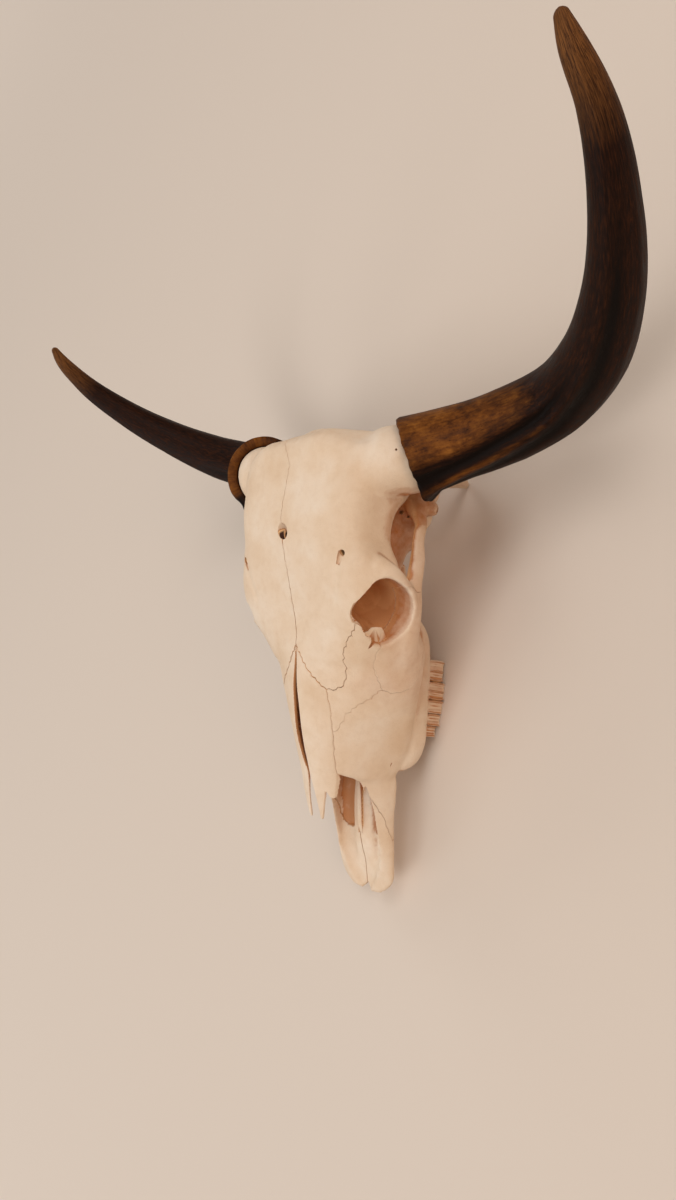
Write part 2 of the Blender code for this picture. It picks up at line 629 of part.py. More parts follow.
skull = combine(loft("skull", BROW), bone_masses(), "UNION")
soften(skull, VOXEL, SMOOTHING, SKULL_TRIANGLES)
combine(skull, openings(), "DIFFERENCE")
combine(skull, [loft("palate", PALATE, step=14, sides=20)]
        + [sweep("palate_lip", PALATE_LIP, side, sides=8, step=9) for side in (1, -1)], "UNION")

for side, label in ((1, "left"), (-1, "right")):
    # nasal: the skin of the face between its own edges
    nasal = plan_block(NASAL_EDGE + NASAL_MIDDLE[side], 80, 240, side, -GAP / 2)
    nasal.name = "nasal_" + label
    roof = combine(loft("roof", FACE, step=9, sides=28), [inner_face(NASAL_THICK)], "DIFFERENCE")
    finish_bone(combine(nasal, [roof], "INTERSECT"), BONE)
    combine(skull, [plan_block(NASAL_SLOT, 96, 240, side)], "DIFFERENCE")

    # cheekbone, from the face to the middle of the cheek bar
    cheekbone = copy_of(skull, "cheekbone_" + label)
    combine(cheekbone, [side_block(CHEEK_EDGE, 80, 150, side, -GAP / 2, 0.22)], "INTERSECT")
    finish_bone(cheekbone, BONE)
    combine(skull, [side_block(CHEEK_EDGE, 80 - GAP, 150, side, GAP / 2, 0.22)], "DIFFERENCE")

    # lacrimal: a plate in front of the eye
    lacrimal = copy_of(skull, "lacrimal_" + label)
    plate = combine(plan_block(LACRIMAL_EDGE, 114, 240, side, -GAP / 2), [inner_face(LACRIMAL_THICK)], "DIFFERENCE")
    finish_bone(combine(lacrimal, [plate], "INTERSECT"), BONE)
    plate = combine(plan_block(LACRIMAL_EDGE, 114 - GAP, 240, side, GAP / 2), [inner_face(LACRIMAL_THICK + GAP)],
                    "DIFFERENCE")
    combine(skull, [plate], "DIFFERENCE")

    # premaxilla, with its plate along the middle of the palate
    premaxilla = copy_of(skull, "premaxilla_" + label)
    middle = [(PALATE_BACK, 0), (PALATE_BACK, 100), (-300, 100), (-300, 0)]
    zones = [side_block(MUZZLE_EDGE, PALATE_HALF, 70, side, -GAP / 2),
             side_block(middle, GAP / 2, PALATE_HALF + 0.01, side, -GAP / 2)]
    zone = combine(zones[0], zones[1:], "UNION")
    finish_bone(combine(premaxilla, [zone], "INTERSECT"), BONE)
    zones = [side_block(MUZZLE_EDGE, PALATE_HALF, 70, side, GAP / 2),
             side_block(middle, -1, PALATE_HALF + 0.01 + GAP, side, GAP / 2)]
    combine(skull, zones, "DIFFERENCE")

# vomer: a keel let into the floor of the nose passage
vomer = side_block(VOMER_EDGE, -VOMER_HALF, VOMER_HALF, 1)
vomer.name = "vomer"
for label in ("left", "right"):
    combine(bpy.data.objects["premaxilla_" + label],
            [side_block(VOMER_EDGE, -VOMER_HALF - GAP, VOMER_HALF + GAP, 1, GAP)], "DIFFERENCE")
combine(skull, [side_block(VOMER_EDGE, -VOMER_HALF - GAP, VOMER_HALF + GAP, 1, GAP)], "DIFFERENCE")
finish_bone(vomer, BONE)

# the upper jaws, each with its row of teeth, and the cranium behind them
for side, label in ((1, "left"), (-1, "right")):
    maxilla = copy_of(skull, "maxilla_" + label)
    combine(maxilla, [side_block([(-300, 0), (-300, 240), (JAW_BACK, 240), (JAW_BACK, 0)], GAP / 2, 140, side)],
            "INTERSECT")
    combine(maxilla, [plan_block(FRONTAL_EDGE, FRONTAL_LEVEL - GAP / 2, 250, side, GAP / 2)], "DIFFERENCE")
    largest(maxilla)
    combine(maxilla, teeth(side), "UNION")
    finish_bone(maxilla, BONE)
front = [plan_block([(-150, -300), (-150, JAW_BACK + GAP), (150, JAW_BACK + GAP), (150, -300)], -20,
                    FRONTAL_LEVEL + GAP / 2, 1)]
combine(skull, front, "DIFFERENCE")
brow = [(x, y) for x, y in FRONTAL_EDGE] + [(-x, y) for x, y in reversed(FRONTAL_EDGE) if x]
combine(skull, [plan_block(brow, -50, 300, 1, -GAP / 2)], "INTERSECT")
skull.name = "cranium"
finish_bone(skull, BONE)

for side, label in ((1, "left"), (-1, "right")):
    finish_bone(horn("horn_" + label, side), HORN)
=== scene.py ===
"""Life-size yak skull with its horn sheaths, lying on its cheek teeth on a pale floor.

Sizes are in millimetres, in the skull's own frame: +X is the animal's left, +Y runs back to the
poll, -Y to the muzzle, and Z = 0 is the grinding plane of the teeth, where the skull rests.
"""

import math
import random

import bmesh
import bpy
import numpy as np
from mathutils import Matrix, Vector
from mathutils.bvhtree import BVHTree


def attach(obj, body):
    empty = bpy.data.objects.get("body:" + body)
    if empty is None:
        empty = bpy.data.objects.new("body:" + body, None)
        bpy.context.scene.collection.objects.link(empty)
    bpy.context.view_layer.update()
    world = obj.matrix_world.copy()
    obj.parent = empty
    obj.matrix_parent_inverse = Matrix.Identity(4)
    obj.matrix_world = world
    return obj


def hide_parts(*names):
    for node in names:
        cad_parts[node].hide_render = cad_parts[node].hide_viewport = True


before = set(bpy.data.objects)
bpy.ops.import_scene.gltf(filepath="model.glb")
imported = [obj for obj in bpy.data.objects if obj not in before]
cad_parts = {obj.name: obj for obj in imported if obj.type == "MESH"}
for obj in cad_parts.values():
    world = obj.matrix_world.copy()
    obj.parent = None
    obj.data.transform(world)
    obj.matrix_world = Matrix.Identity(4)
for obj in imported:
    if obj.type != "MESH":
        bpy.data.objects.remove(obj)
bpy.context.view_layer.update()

MM = 0.001
CENTRE_Y = 33.4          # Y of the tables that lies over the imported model's origin
SEAM = 0.55              # open width of a suture between two dry bones
TIGHT_SEAM = 0.28        # and of one that is nearly closed
BONE_GRAIN = 1.86        # grain that the bones are fused at

# ---------------------------------------------------------------- sizes of the skull
# Sections of the brow, from the eyes to the poll, each two half superellipses:
# y, top z, half-width, z of the widest line, upper exponent, lowest z, lower exponent
BROW = [
    (-34, 168, 80, 118, 2.1, 84, 2.0),
    (-8, 174.5, 95, 124, 3.0, 92, 2.0),
    (12, 180.5, 104, 138, 4.2, 104, 2.0),
    (35, 188.5, 109, 143, 4.8, 112, 2.0),
    (50, 194, 109, 144, 4.6, 118, 2.0),
    (66, 199.5, 106, 144, 4.3, 120, 2.0),
    (86, 206.5, 97, 150, 4.4, 124, 2.0),
    (102, 211, 96, 151, 4.5, 124, 2.0),
    (120, 212.5, 99, 150, 4.6, 122, 2.0),
    (140, 214, 105, 142, 4.0, 108, 2.0),
    (160, 216.5, 111, 150, 3.2, 98, 2.2),
    (175, 217, 112, 150, 3.0, 96, 2.4),
    (186, 213, 104, 146, 2.4, 92, 2.4),
    (195, 200, 90, 138, 2.3, 90, 2.6),
    (201, 176, 74, 130, 2.6, 88, 2.4),
]
# Sections of the face, from the tip of the nasals to the back of the upper jaw, the same way
FACE = [
    (-204, 114, 30, 92, 2.6, 62, 2.0),
    (-196, 117, 34, 86, 2.5, 54, 2.2),
    (-172, 126, 37.5, 72, 2.4, 44, 3.0),
    (-150, 134, 42, 64, 2.3, 42, 3.0),
    (-125, 144.5, 52, 58, 2.15, 38, 3.0),
    (-105, 152, 60, 60, 2.05, 36, 2.6),
    (-82, 159, 71, 72, 1.95, 36, 2.3),
    (-60, 165.5, 83, 82, 1.82, 36, 2.0),
    (-34, 170, 94, 92, 1.88, 38, 1.9),
    (-8, 174.5, 99, 100, 2.5, 42, 1.9),
    (12, 176, 86, 98, 2.8, 46, 1.9),
    (30, 168, 66, 96, 2.3, 52, 2.0),
    (44, 150, 46, 94, 2.0, 62, 2.0),
]
# Sections of the muzzle, from the front of the premaxillae to the upper jaw
MUZZLE = [
    (-274, 34.5, 20, 31, 2.2, 28, 2.0),
    (-266, 38, 33, 32, 2.4, 27, 2.4),
    (-256, 43, 40.5, 33, 2.2, 27, 2.5),
    (-240, 54, 42, 37, 2.0, 30, 3.0),
    (-214, 69, 42, 43, 2.0, 35, 4.0),
    (-190, 86, 41, 46, 2.0, 38, 4.0),
    (-172, 101, 41, 47, 2.0, 39, 4.0),
    (-150, 118, 42, 50, 2.0, 41, 4.0),
    (-138, 120, 40, 52, 2.0, 44, 4.0),
]
# The raised floor between the two nose passages, in sections of the same kind
PALATE = [
    (-256, 34.5, 13, 31, 2.6, 28, 2.0),
    (-250, 36, 15, 32, 2.8, 28.5, 2.4),
    (-243, 38, 16, 33, 2.8, 29, 2.6),
    (-230, 44.5, 17, 35, 2.6, 31, 3.0),
    (-217, 50, 17.5, 38, 2.6, 34, 3.0),
    (-200, 53, 17.5, 42, 2.6, 38.5, 3.0),
    (-170, 58, 17, 46, 2.6, 41, 3.0),
    (-140, 61, 15, 49, 2.4, 44, 3.0),
    (-120, 60, 11, 50, 2.2, 46, 3.0),
]
PALATE_HALF = 18         # the premaxillae's middle plates reach out to here
PALATE_BACK = -141       # and back to here
PALATE_LIP = [(36, -209, 42, 2, 2.4), (27, -210, 43, 2, 2.4), (18.9, -210, 44.5, 1.8, 2.4)]
# The nose passage: the same kind of sections, a wall's thickness inside the face
PASSAGE = [
    (-275, 140, 16, 60, 3.0, 32, 2.2),
    (-262, 140, 25, 60, 3.0, 33, 2.4),
    (-247, 140, 28, 60, 3.0, 34.5, 3.0),
    (-240, 140, 31, 60, 3.0, 36, 3.5),
    (-214, 140, 34, 56, 2.6, 41, 4.0),
    (-190, 132, 34.5, 58, 2.4, 45, 4.5),
    (-168, 127, 34.5, 62, 2.3, 48, 4.5),
    (-150, 128, 35, 64, 2.3, 49, 3.6),
    (-125, 139.5, 36, 74, 2.4, 50, 2.8),
    (-105, 147.5, 34, 84, 2.4, 52, 2.6),
    (-82, 154.5, 33, 90, 2.4, 56, 2.4),
    (-60, 160, 31, 96, 2.3, 62, 2.2),
    (-38, 160, 26, 104, 2.2, 72, 2.0),
    (-26, 146, 16, 112, 2.0, 88, 2.0),
]

EYE_CENTRE = Vector((101, 20, 151))
EYE_AXIS = Vector((0.891, -0.403, 0.208)).normalized()     # looks out, forward and a little up
EYE_RIM = 4.2            # half the rim's thickness
EYE_DEPTH = 74
EYE_APEX = 13            # radius of the socket's inner end
# the eye's opening: angle in degrees from the front, over the top, radius, and how stout the rim is there
EYE_OUTLINE = [
    (0, 27.5, 0.7), (13, 26.5, 0.5), (27, 24.3, 0.4), (40, 24.3, 0.35), (50, 27.5, 0.35),
    (62, 29.5, 0.35), (76, 27.5, 0.4), (95, 24, 0.45), (115, 24.6, 0.5), (132, 28, 0.55),
    (148, 32, 0.65), (163, 32.5, 0.85), (178, 31, 0.95), (196, 29.8, 1), (213, 30, 1), (230, 30.4, 1),
    (246, 30.6, 1), (264, 31, 1), (282, 31.5, 1), (298, 32, 1), (316, 33.4, 1), (333, 34.5, 0.95),
    (345, 34, 0.85),
]
# the sharp, broken edge in front and above: angle and radius; from 180 to 330 degrees it misses the bone
EYE_BREAK = [
    (0, 28.2), (6, 29.6), (13, 28.9), (17, 27.6), (22, 27), (28, 26.6), (32, 25.2), (35, 25),
    (40, 26.2), (43, 26.2), (45, 28.5), (47, 30.8), (55, 32.2), (63, 33), (72, 32), (79, 30.8),
    (90, 29), (101, 28), (115, 28.4), (128, 29.9), (138, 31.8), (145, 33), (155, 33), (165, 31),
    (180, 26), (330, 28), (343, 31), (351, 35), (353, 39.5), (356, 41), (357, 34), (357.5, 31), (360, 28.2),
]
# the socket's hollow and the cup round it: depth along the eye's axis, how much wider, how round
SOCKET_STEPS = [(14, 7, 0), (5, 2.6, 0), (0, 0.4, 0), (-6, 0, 0.1), (-16, -1, 0.3), (-30, -3, 0.6),
                (-48, -3, 0.9), (-66, -1, 1), (-74, -3, 1)]
CUP_STEPS = [(-8, 3.6, 0.12), (-18, 3.6, 0.35), (-32, 2.2, 0.65), (-48, 2, 0.9), (-60, 3, 1)]
# outline of the splinter in the socket: distance to the front of its middle, and height over it
EYE_FLAKE = [(37, 4), (30.5, 2.5), (27, 7), (24.5, 3), (20.3, 0.5), (19, -3), (12.4, -6.6), (17, -9),
             (19.8, -13), (25.6, -18.8), (31.5, -14), (38, -10)]
FLAKE_DEPTH = -5         # middle of its thickness along the eye's axis
FLAKE_LEAN = 0.16        # and how it leans out, in millimetres for each one to the front
FLAKE_FOOT = 26

# Paths of the bars and processes: x, y, z, half-thickness across, half-thickness upright
CHEEK_BAR = [
    (74, -50, 84, 8, 13), (92, -20, 103, 8, 13), (102, 8, 112, 7.5, 12), (105, 30, 116.5, 8, 12),
    (106.5, 50, 119, 7, 10.5), (106, 75, 117, 6, 9.5), (102, 97, 115, 4.5, 8), (97, 112, 109, 4.5, 8.5),
    (84, 128, 103, 8, 11), (72, 142, 98, 10, 15),
]
EYE_BAR = [(104, 64, 172, 7, 9), (112, 57, 154, 6, 8), (112, 47, 136, 5.5, 7), (109, 36, 120, 6, 8)]
PARACONDYLE = [(58, 172, 94, 15, 18), (60, 180, 66, 8, 15), (59, 185, 40, 5.5, 12), (56, 187.5, 18, 4.5, 8.5),
               (54, 188.5, 0, 4, 5.5)]
BASE_BAR = [(0, 206, 58, 24, 11), (0, 160, 56, 20, 10), (0, 110, 62, 15, 12), (0, 40, 78, 14, 22)]
TOOTH_RIDGE = [(40, -134, 46, 7, 7), (44, -123, 37, 9, 14), (45, -108, 34, 11, 18), (45, -90, 37, 12, 21),
               (45, -60, 40, 13, 22), (45, -20, 45, 13, 23), (44, 4, 50, 12.5, 22), (43, 18, 58, 10.5, 18),
               (42, 30, 66, 8, 12)]
EAR_TUBE = [(60, 142, 96, 14, 14), (78, 139, 88, 10.5, 11), (90, 136, 80, 6, 7)]
BROW_SLOT = [(82, 69.5, 195.4, 3.2, 3.8), (79.3, 63.5, 193.8, 3, 3), (76.4, 57.8, 192.4, 2.4, 2)]
HAMULUS = [(21, 84, 66, 3.5, 16), (20, 60, 56, 3, 15), (20, 40, 46, 3, 10)]
# Ellipsoids: centre, then half-axes along x, y and z
BRAIN = ((0, 116, 114), (63, 90, 60))
OCCIPUT = ((0, 170, 118), (88, 33, 56))
TEMPLE = ((0, 118, 80), (66, 30, 32))
MASTOID = ((70, 158, 92), (19, 22, 26))
CONDYLE = ((26, 202, 66), (12.5, 16, 20))
CONDYLE_FOOT = ((17.5, 201, 50), (14, 15, 9))
BULLA = ((42, 142, 58), (11, 20, 17))
PROTUBERANCE = ((0, 202, 158), (13, 6, 16))
NECK_RIDGE = ((0, 201, 126), (4, 5, 24))
POLL_CREST = [(-64, 189, 168, 5, 5), (-34, 198.5, 178, 5, 4.5), (0, 202, 182, 6, 5), (34, 198.5, 178, 5, 4.5),
              (64, 189, 168, 5, 5)]

# ---------------------------------------------------------------- sizes of the horns
HORN_RIM = {1: (119, 168, 147, 41.8), -1: (121, 179, 157, 43.5)}   # middle and radius of each sheath's rim
HORN_LIP = {1: 0.06, -1: 0.22}           # how far the rim's front juts out, as a part of its radius
HORN_LINE = [                            # x, y, z, radius along the horn's middle line, beyond the rim
    (179.8, 194, 114.7, 35.3), (238.9, 220.4, 99.3, 31.9), (292.6, 234.7, 128.8, 28.8),
    (334.6, 252.3, 173.2, 23.8), (371, 277.5, 233.2, 17.7), (392.7, 308.4, 295.8, 11.8),
    (393.9, 329.8, 329.8, 7), (393.6, 337.3, 337.4, 4.4),
]
HORN_CROWD = 0.92        # below 1, rings lie closer together towards the tip
HORN_SIDES = 144
HORN_RINGS = 300
# Long flutes along a sheath: depth as a part of its radius (a ridge is negative), half-width in degrees,
# end of its run, then parts of the horn's length with the flute's angle there, 0 to the front and 90 on top
HORN_FLUTES = [
    (0.085, 8, 0.50, [(0, 26), (0.05, 28), (0.1, 31), (0.18, 38), (0.27, 45), (0.34, 50), (0.45, 53)]),
    (-0.045, 8, 0.60, [(0, 2), (0.04, 8), (0.1, 15), (0.2, 20), (0.28, 30), (0.4, 33), (0.6, 30)]),
    (0.075, 13, 0.80, [(0, -20), (0.08, -10), (0.16, -5), (0.24, 4), (0.36, 16), (0.5, 14), (0.8, 6)]),
    (-0.035, 10, 0.90, [(0, -48), (0.2, -40), (0.36, -22), (0.5, -24), (0.6, -38), (0.9, -40)]),
    (0.03, 12, 0.85, [(0, 188), (0.4, 176), (0.85, 170)]),
    (0.025, 10, 0.80, [(0, 262), (0.4, 255), (0.8, 250)]),
]
# how far the rim's edge reaches over the bone, in millimetres, at angles round it
RIM_REACH = {1: [(0, 0.5), (14, 0.3), (30, 0), (57, 0.5), (90, 2), (130, 4), (160, 1), (230, -1), (310, -2),
                 (338, -0.5)],
             -1: [(0, 12), (14, 5), (40, 0), (80, 1), (130, 3), (170, 0), (240, -1), (320, 0), (348, 9)]}
RIM_FLARE = {1: 0.03, -1: 0.07}          # the rim turns out by this part of its radius
SOCKET_WALL = 8.5                        # thickness of the sheath at its rim
SOCKET_DEPTH = 62
SOCKET_TAPER = 0.72
CORE = [(84, 158, 164, 34), (104, 166, 158, 34)]    # x, y, z, radius of the bone core, up to the sheath
CORE_IN_SOCKET = [(-7, 2.5), (12, 3), (46, 3.5)]    # depth past the rim, clearance to the socket's wall

# ---------------------------------------------------------------- sutures and edges
# x, y, z of the crack that has opened along the middle of the brow, from the poll to the nasals
BROW_CRACK = [
    (-8.8, 197, 203), (-8.6, 191, 210.5), (-8.4, 186, 212.7), (4.3, 169, 216.8), (9.3, 158, 216.1),
    (5, 145.6, 214.7), (2.4, 133.7, 213.3), (0.1, 123.7, 212.6), (-0.3, 113.5, 211.9), (-0.9, 103.3, 211),
    (0.9, 91.4, 207.9), (-2, 78.9, 203.7), (-1.9, 64.3, 198.8), (-0.3, 49.6, 193.8), (-0.6, 37, 188.9),
    (0.1, 25.2, 185), (0.6, 13.4, 180.8), (1.6, 0.5, 176.9), (1.2, -12, 173.4), (0.4, -23, 171),
]
# the crack's stretches: first and last point in the list above, width, depth and seed
CRACK_RUNS = [(0, 5, 1.0, 3.5, 21), (4, 11, 1.1, 4, 22), (10, 15, 1.2, 4.5, 24), (14, 20, 1.9, 5.5, 23)]
# x, y of the left side seen from above; the right side is their mirror image
FRONTO_NASAL = [(0.2, -20), (7, -30), (17, -44), (27, -54), (36, -61)]
FRONTO_LACRIMAL = [(36, -61), (45, -60), (52, -55), (56, -44), (58, -34), (63, -22), (71, -11), (84, 2),
                   (96, 10)]
NASO_LACRIMAL = [(36, -61), (36.6, -80), (34, -103)]
NASO_MAXILLARY = [(34, -103), (30.5, -130), (28.5, -148), (27.3, -157)]
LACRIMO_MAXILLARY = [(118, -52), (80, -52), (74, -56), (70, -61), (64, -67), (53, -77), (46, -86), (40, -97),
                     (34, -103)]
NASAL_TIP = [(26.5, -164), (25.8, -169.3), (23.6, -171.6), (21.2, -170.4), (19.4, -167), (18, -164.6),
             (16.8, -172), (14, -183), (11.6, -192), (9.6, -195.6), (7.4, -194.3), (6.9, -187), (5.6, -176)]
NASAL_MIDDLE = {1: [(0.9, -150), (0.2, -120)],     # the left one is straight, the right one has sprung away
                -1: [(1.2, -147), (5, -134), (8.6, -118), (9.8, -104), (8.4, -84), (5.2, -60), (2, -38)]}
NASAL_THICK = 4.2
NASAL_LOW = 80           # the block that cuts the nasals out starts here, and NASAL_SLOT frees them from here
NASAL_SLOT = 96
LACRIMAL_THICK = 9
LACRIMAL_LOW = 114
CHEEK_DEPTH = 80         # the cheekbones reach in to here, less towards the front by this slope
CHEEK_SLOPE = 0.22
MUZZLE_WIDE = 70
ABOVE = 240              # clear of everything above, for blocks that cut
GAP = 0.3                # air between pieces that touch
FRONTAL_LEVEL = 118      # the brow bone reaches down to here in front of the eyes
JAW_BACK = 37            # the upper jaw ends here, under the eye
# y, z of the left side, seen from beside it
CHEEK_EDGE = [(46, 138), (-11, 139), (-22, 138), (-34, 133), (-46, 124), (-55, 115), (-57, 106), (-55, 97),
              (-50, 89), (-38, 84), (-10, 83), (20, 87), (40, 92), (56, 99), (57, 106), (50, 112), (44, 115),
              (43, 120), (46, 128)]
MUZZLE_SUTURE = [(-146, 126), (-153, 93), (-162, 84), (-174, 70), (-188, 57), (-204, 48), (-211, 43),
                 (-213, 0)]
NOTCH_EDGE = [(-145, 150), (-146, 118), (-149, 100), (-153, 94.5), (-164, 87), (-188, 72), (-214, 61),
              (-232, 53), (-245, 45), (-300, 45), (-300, 150)]
VOMER_EDGE = [(-222, 46), (-200, 55.5), (-170, 61), (-120, 72), (-66, 86), (-66, 58), (-120, 49),
              (-158, 47), (-195, 45), (-215, 42)]
VOMER_HALF = 3.0
FISSURE = [(18.2, -213), (20.8, -214), (21.6, -226), (20, -238), (17.6, -246.5), (15.9, -245.5), (17.4, -237),
           (18.4, -226)]
FRONT_NOTCH = [(0, -264.5), (3.5, -269), (8, -274.5), (8, -285), (-8, -285), (-8, -274.5), (-3.5, -269)]

# ---------------------------------------------------------------- sizes of the teeth
# name, length along the jaw, width across, outer ribs, height of the crown above the grinding plane
TEETH = [("P2", 12, 12.5, 1, 4), ("P3", 13.5, 14.5, 1, 0), ("P4", 15, 17, 1, 0), ("M1", 20, 18.5, 2, 0),
         ("M2", 24, 19, 2, 4)]
TOOTH_FRONT = -98.5
TOOTH_GAP = 0.5
TOOTH_ROOT = 36
TOOTH_LINE = [(-104, 44.5), (-85, 45), (-60, 45.6), (-30, 44.5), (10, 42)]     # y, x of the row's middle

# ---------------------------------------------------------------- painted shade
SKY_RAYS = 10            # rays from each point that look how much of its sky is closed off
SKY_REACH = 0.09         # and how far they look, in metres
# places given more or less painted shade than their hollows get, the holes of the brow and temples painted
# dark and the temple's hollow: x, y, z, radius, with the shade's strength
SHADE_SPOTS = [(-4, 87, 202, 10, 2.6)] + [
    (side * x, *spot) for side in (1, -1) for x, *spot in (
        (70, 106, 106, 62, 0.36), (82, 72, 188, 7, 2.0), (55, 132, 103, 8, 2.0), (56, 132, 94, 8, 2.0))]


# ---------------------------------------------------------------- nodes and colours
def linear(code):
    """Linear colour from an sRGB hex value."""
    parts = [int(code[i:i + 2], 16) / 255 for i in (1, 3, 5)]
    return (*(p / 12.92 if p <= 0.04045 else ((p + 0.055) / 1.055) ** 2.4 for p in parts), 1)


def add(tree, kind, inputs=None, stops=None, **settings):
    """Adds a node with its settings; inputs are values or other nodes' outputs, stops a ramp's colours."""
    node = tree.nodes.new(kind)
    for name, value in settings.items():
        setattr(node, name, value)
    for key, value in (inputs or {}).items():
        if isinstance(value, bpy.types.NodeSocket):
            tree.links.new(value, node.inputs[key])
        else:
            node.inputs[key].default_value = value
    for index, (place, shade) in enumerate(stops or []):
        ramp = node.color_ramp.elements
        stop = ramp[index] if index < 2 else ramp.new(place)
        stop.position = place
        stop.color = linear(shade) if isinstance(shade, str) else (shade, shade, shade, 1)
    return node


def new_material(name, roughness, ior):
    """Empty material with its shader; returns the material, its tree and the shader."""
    material = bpy.data.materials.new(name)
    material.use_nodes = True
    tree = material.node_tree
    shader = tree.nodes["Principled BSDF"]
    shader.inputs["Roughness"].default_value = roughness
    shader.inputs["IOR"].default_value = ior
    return material, tree, shader


def layered(tree, colour, *coats):
    """Colour with coats over it, each a node that gives where it lies, and its hex value or ramp."""
    for where, shade in coats:
        shade = linear(shade) if isinstance(shade, str) else shade.outputs[0]
        amount = where.outputs["Fac" if "Fac" in where.outputs else 0]
        colour = add(tree, "ShaderNodeMix", {0: amount, 6: colour, 7: shade}, data_type="RGBA").outputs[2]
    return colour


# ---------------------------------------------------------------- materials
def dry_bone():
    """Cleaned, weathered compact bone: chalky cream, with painted shade in its hollows, brown, and near black
    in the deepest holes.
    """
    material, tree, shader = new_material("dry_bone", 0.58, 1.5)
    place = add(tree, "ShaderNodeTexCoord").outputs["Object"]
    stain = add(tree, "ShaderNodeAttribute", attribute_name="stain").outputs["Fac"]
    # clouds of paler and warmer bone, 55 mm across, and mottling, 9 mm across
    clouds = add(tree, "ShaderNodeTexNoise", {"Vector": place, "Scale": 18, "Detail": 4, "Roughness": 0.55})
    mottle = add(tree, "ShaderNodeTexNoise", {"Vector": place, "Scale": 110, "Detail": 5, "Roughness": 0.6})
    mottling = mottle.outputs["Fac"]
    ground = add(tree, "ShaderNodeValToRGB", {"Fac": clouds.outputs["Fac"]},
                 stops=[(0.32, "#E0C2A2"), (0.7, "#ECD7C0"), (0.5, "#E7CDB1")])
    specks = add(tree, "ShaderNodeMapRange", {"Value": mottling, 1: 0.46, 2: 0.78, 3: 0.0, 4: 0.22})
    # painted shade of the hollows, in brown, its edge broken up by the mottling, and nearly black in the
    # deepest holes
    reach = add(tree, "ShaderNodeMath", {0: stain, 1: mottling, 2: stain}, operation="MULTIPLY_ADD")
    shade_amount = add(tree, "ShaderNodeValToRGB", {"Fac": reach.outputs[0]},
                  stops=[(0.08, 0.0), (0.62, 1.0), (0.3, 0.32)])
    # painted shade and painted warm bounced light: the more of the sky is shut off, the paler and more orange
    # the brown
    brown = add(tree, "ShaderNodeValToRGB", {"Fac": stain}, stops=[(0.35, "#B36B34"), (0.8, "#F2C692")])
    deepest = add(tree, "ShaderNodeMapRange", {"Value": stain, 1: 1.05, 2: 1.7, 3: 0.0, 4: 1.0})
    colour = layered(tree, ground.outputs[0], (specks, "#CFAB85"), (shade_amount, brown), (deepest, "#3A1A0A"))
    # open pores, 1.6 mm apart, which is coarser than real ones, so that they show, each a darker dot of
    # painted shade
    pores = add(tree, "ShaderNodeTexVoronoi", {"Vector": place, "Scale": 620, "Randomness": 1.0})
    holes = add(tree, "ShaderNodeMapRange", {"Value": pores.outputs["Distance"],
                                             1: 0.08, 2: 0.3, 3: 0.62, 4: 1.0})
    dotted = add(tree, "ShaderNodeMix", {0: 0.22, 6: colour, 7: holes.outputs[0]},
                 data_type="RGBA", blend_type="MULTIPLY")
    tree.links.new(dotted.outputs[2], shader.inputs["Base Color"])
    sheen = add(tree, "ShaderNodeMapRange", {"Value": mottling, 1: 0.3, 2: 0.7, 3: 0.48, 4: 0.72})
    tree.links.new(sheen.outputs[0], shader.inputs["Roughness"])
    # the weathered surface's grain, 2.4 mm across, with the pores sunk into it
    fine = add(tree, "ShaderNodeTexNoise", {"Vector": place, "Scale": 420, "Detail": 4, "Roughness": 0.65})
    grain = add(tree, "ShaderNodeBump", {"Height": fine.outputs["Fac"], "Strength": 0.28, "Distance": 0.0008})
    pitted = add(tree, "ShaderNodeBump", {"Height": holes.outputs[0], "Normal": grain.outputs[0],
                                          "Strength": 0.25, "Distance": 0.0004})
    tree.links.new(pitted.outputs[0], shader.inputs["Normal"])
    return material


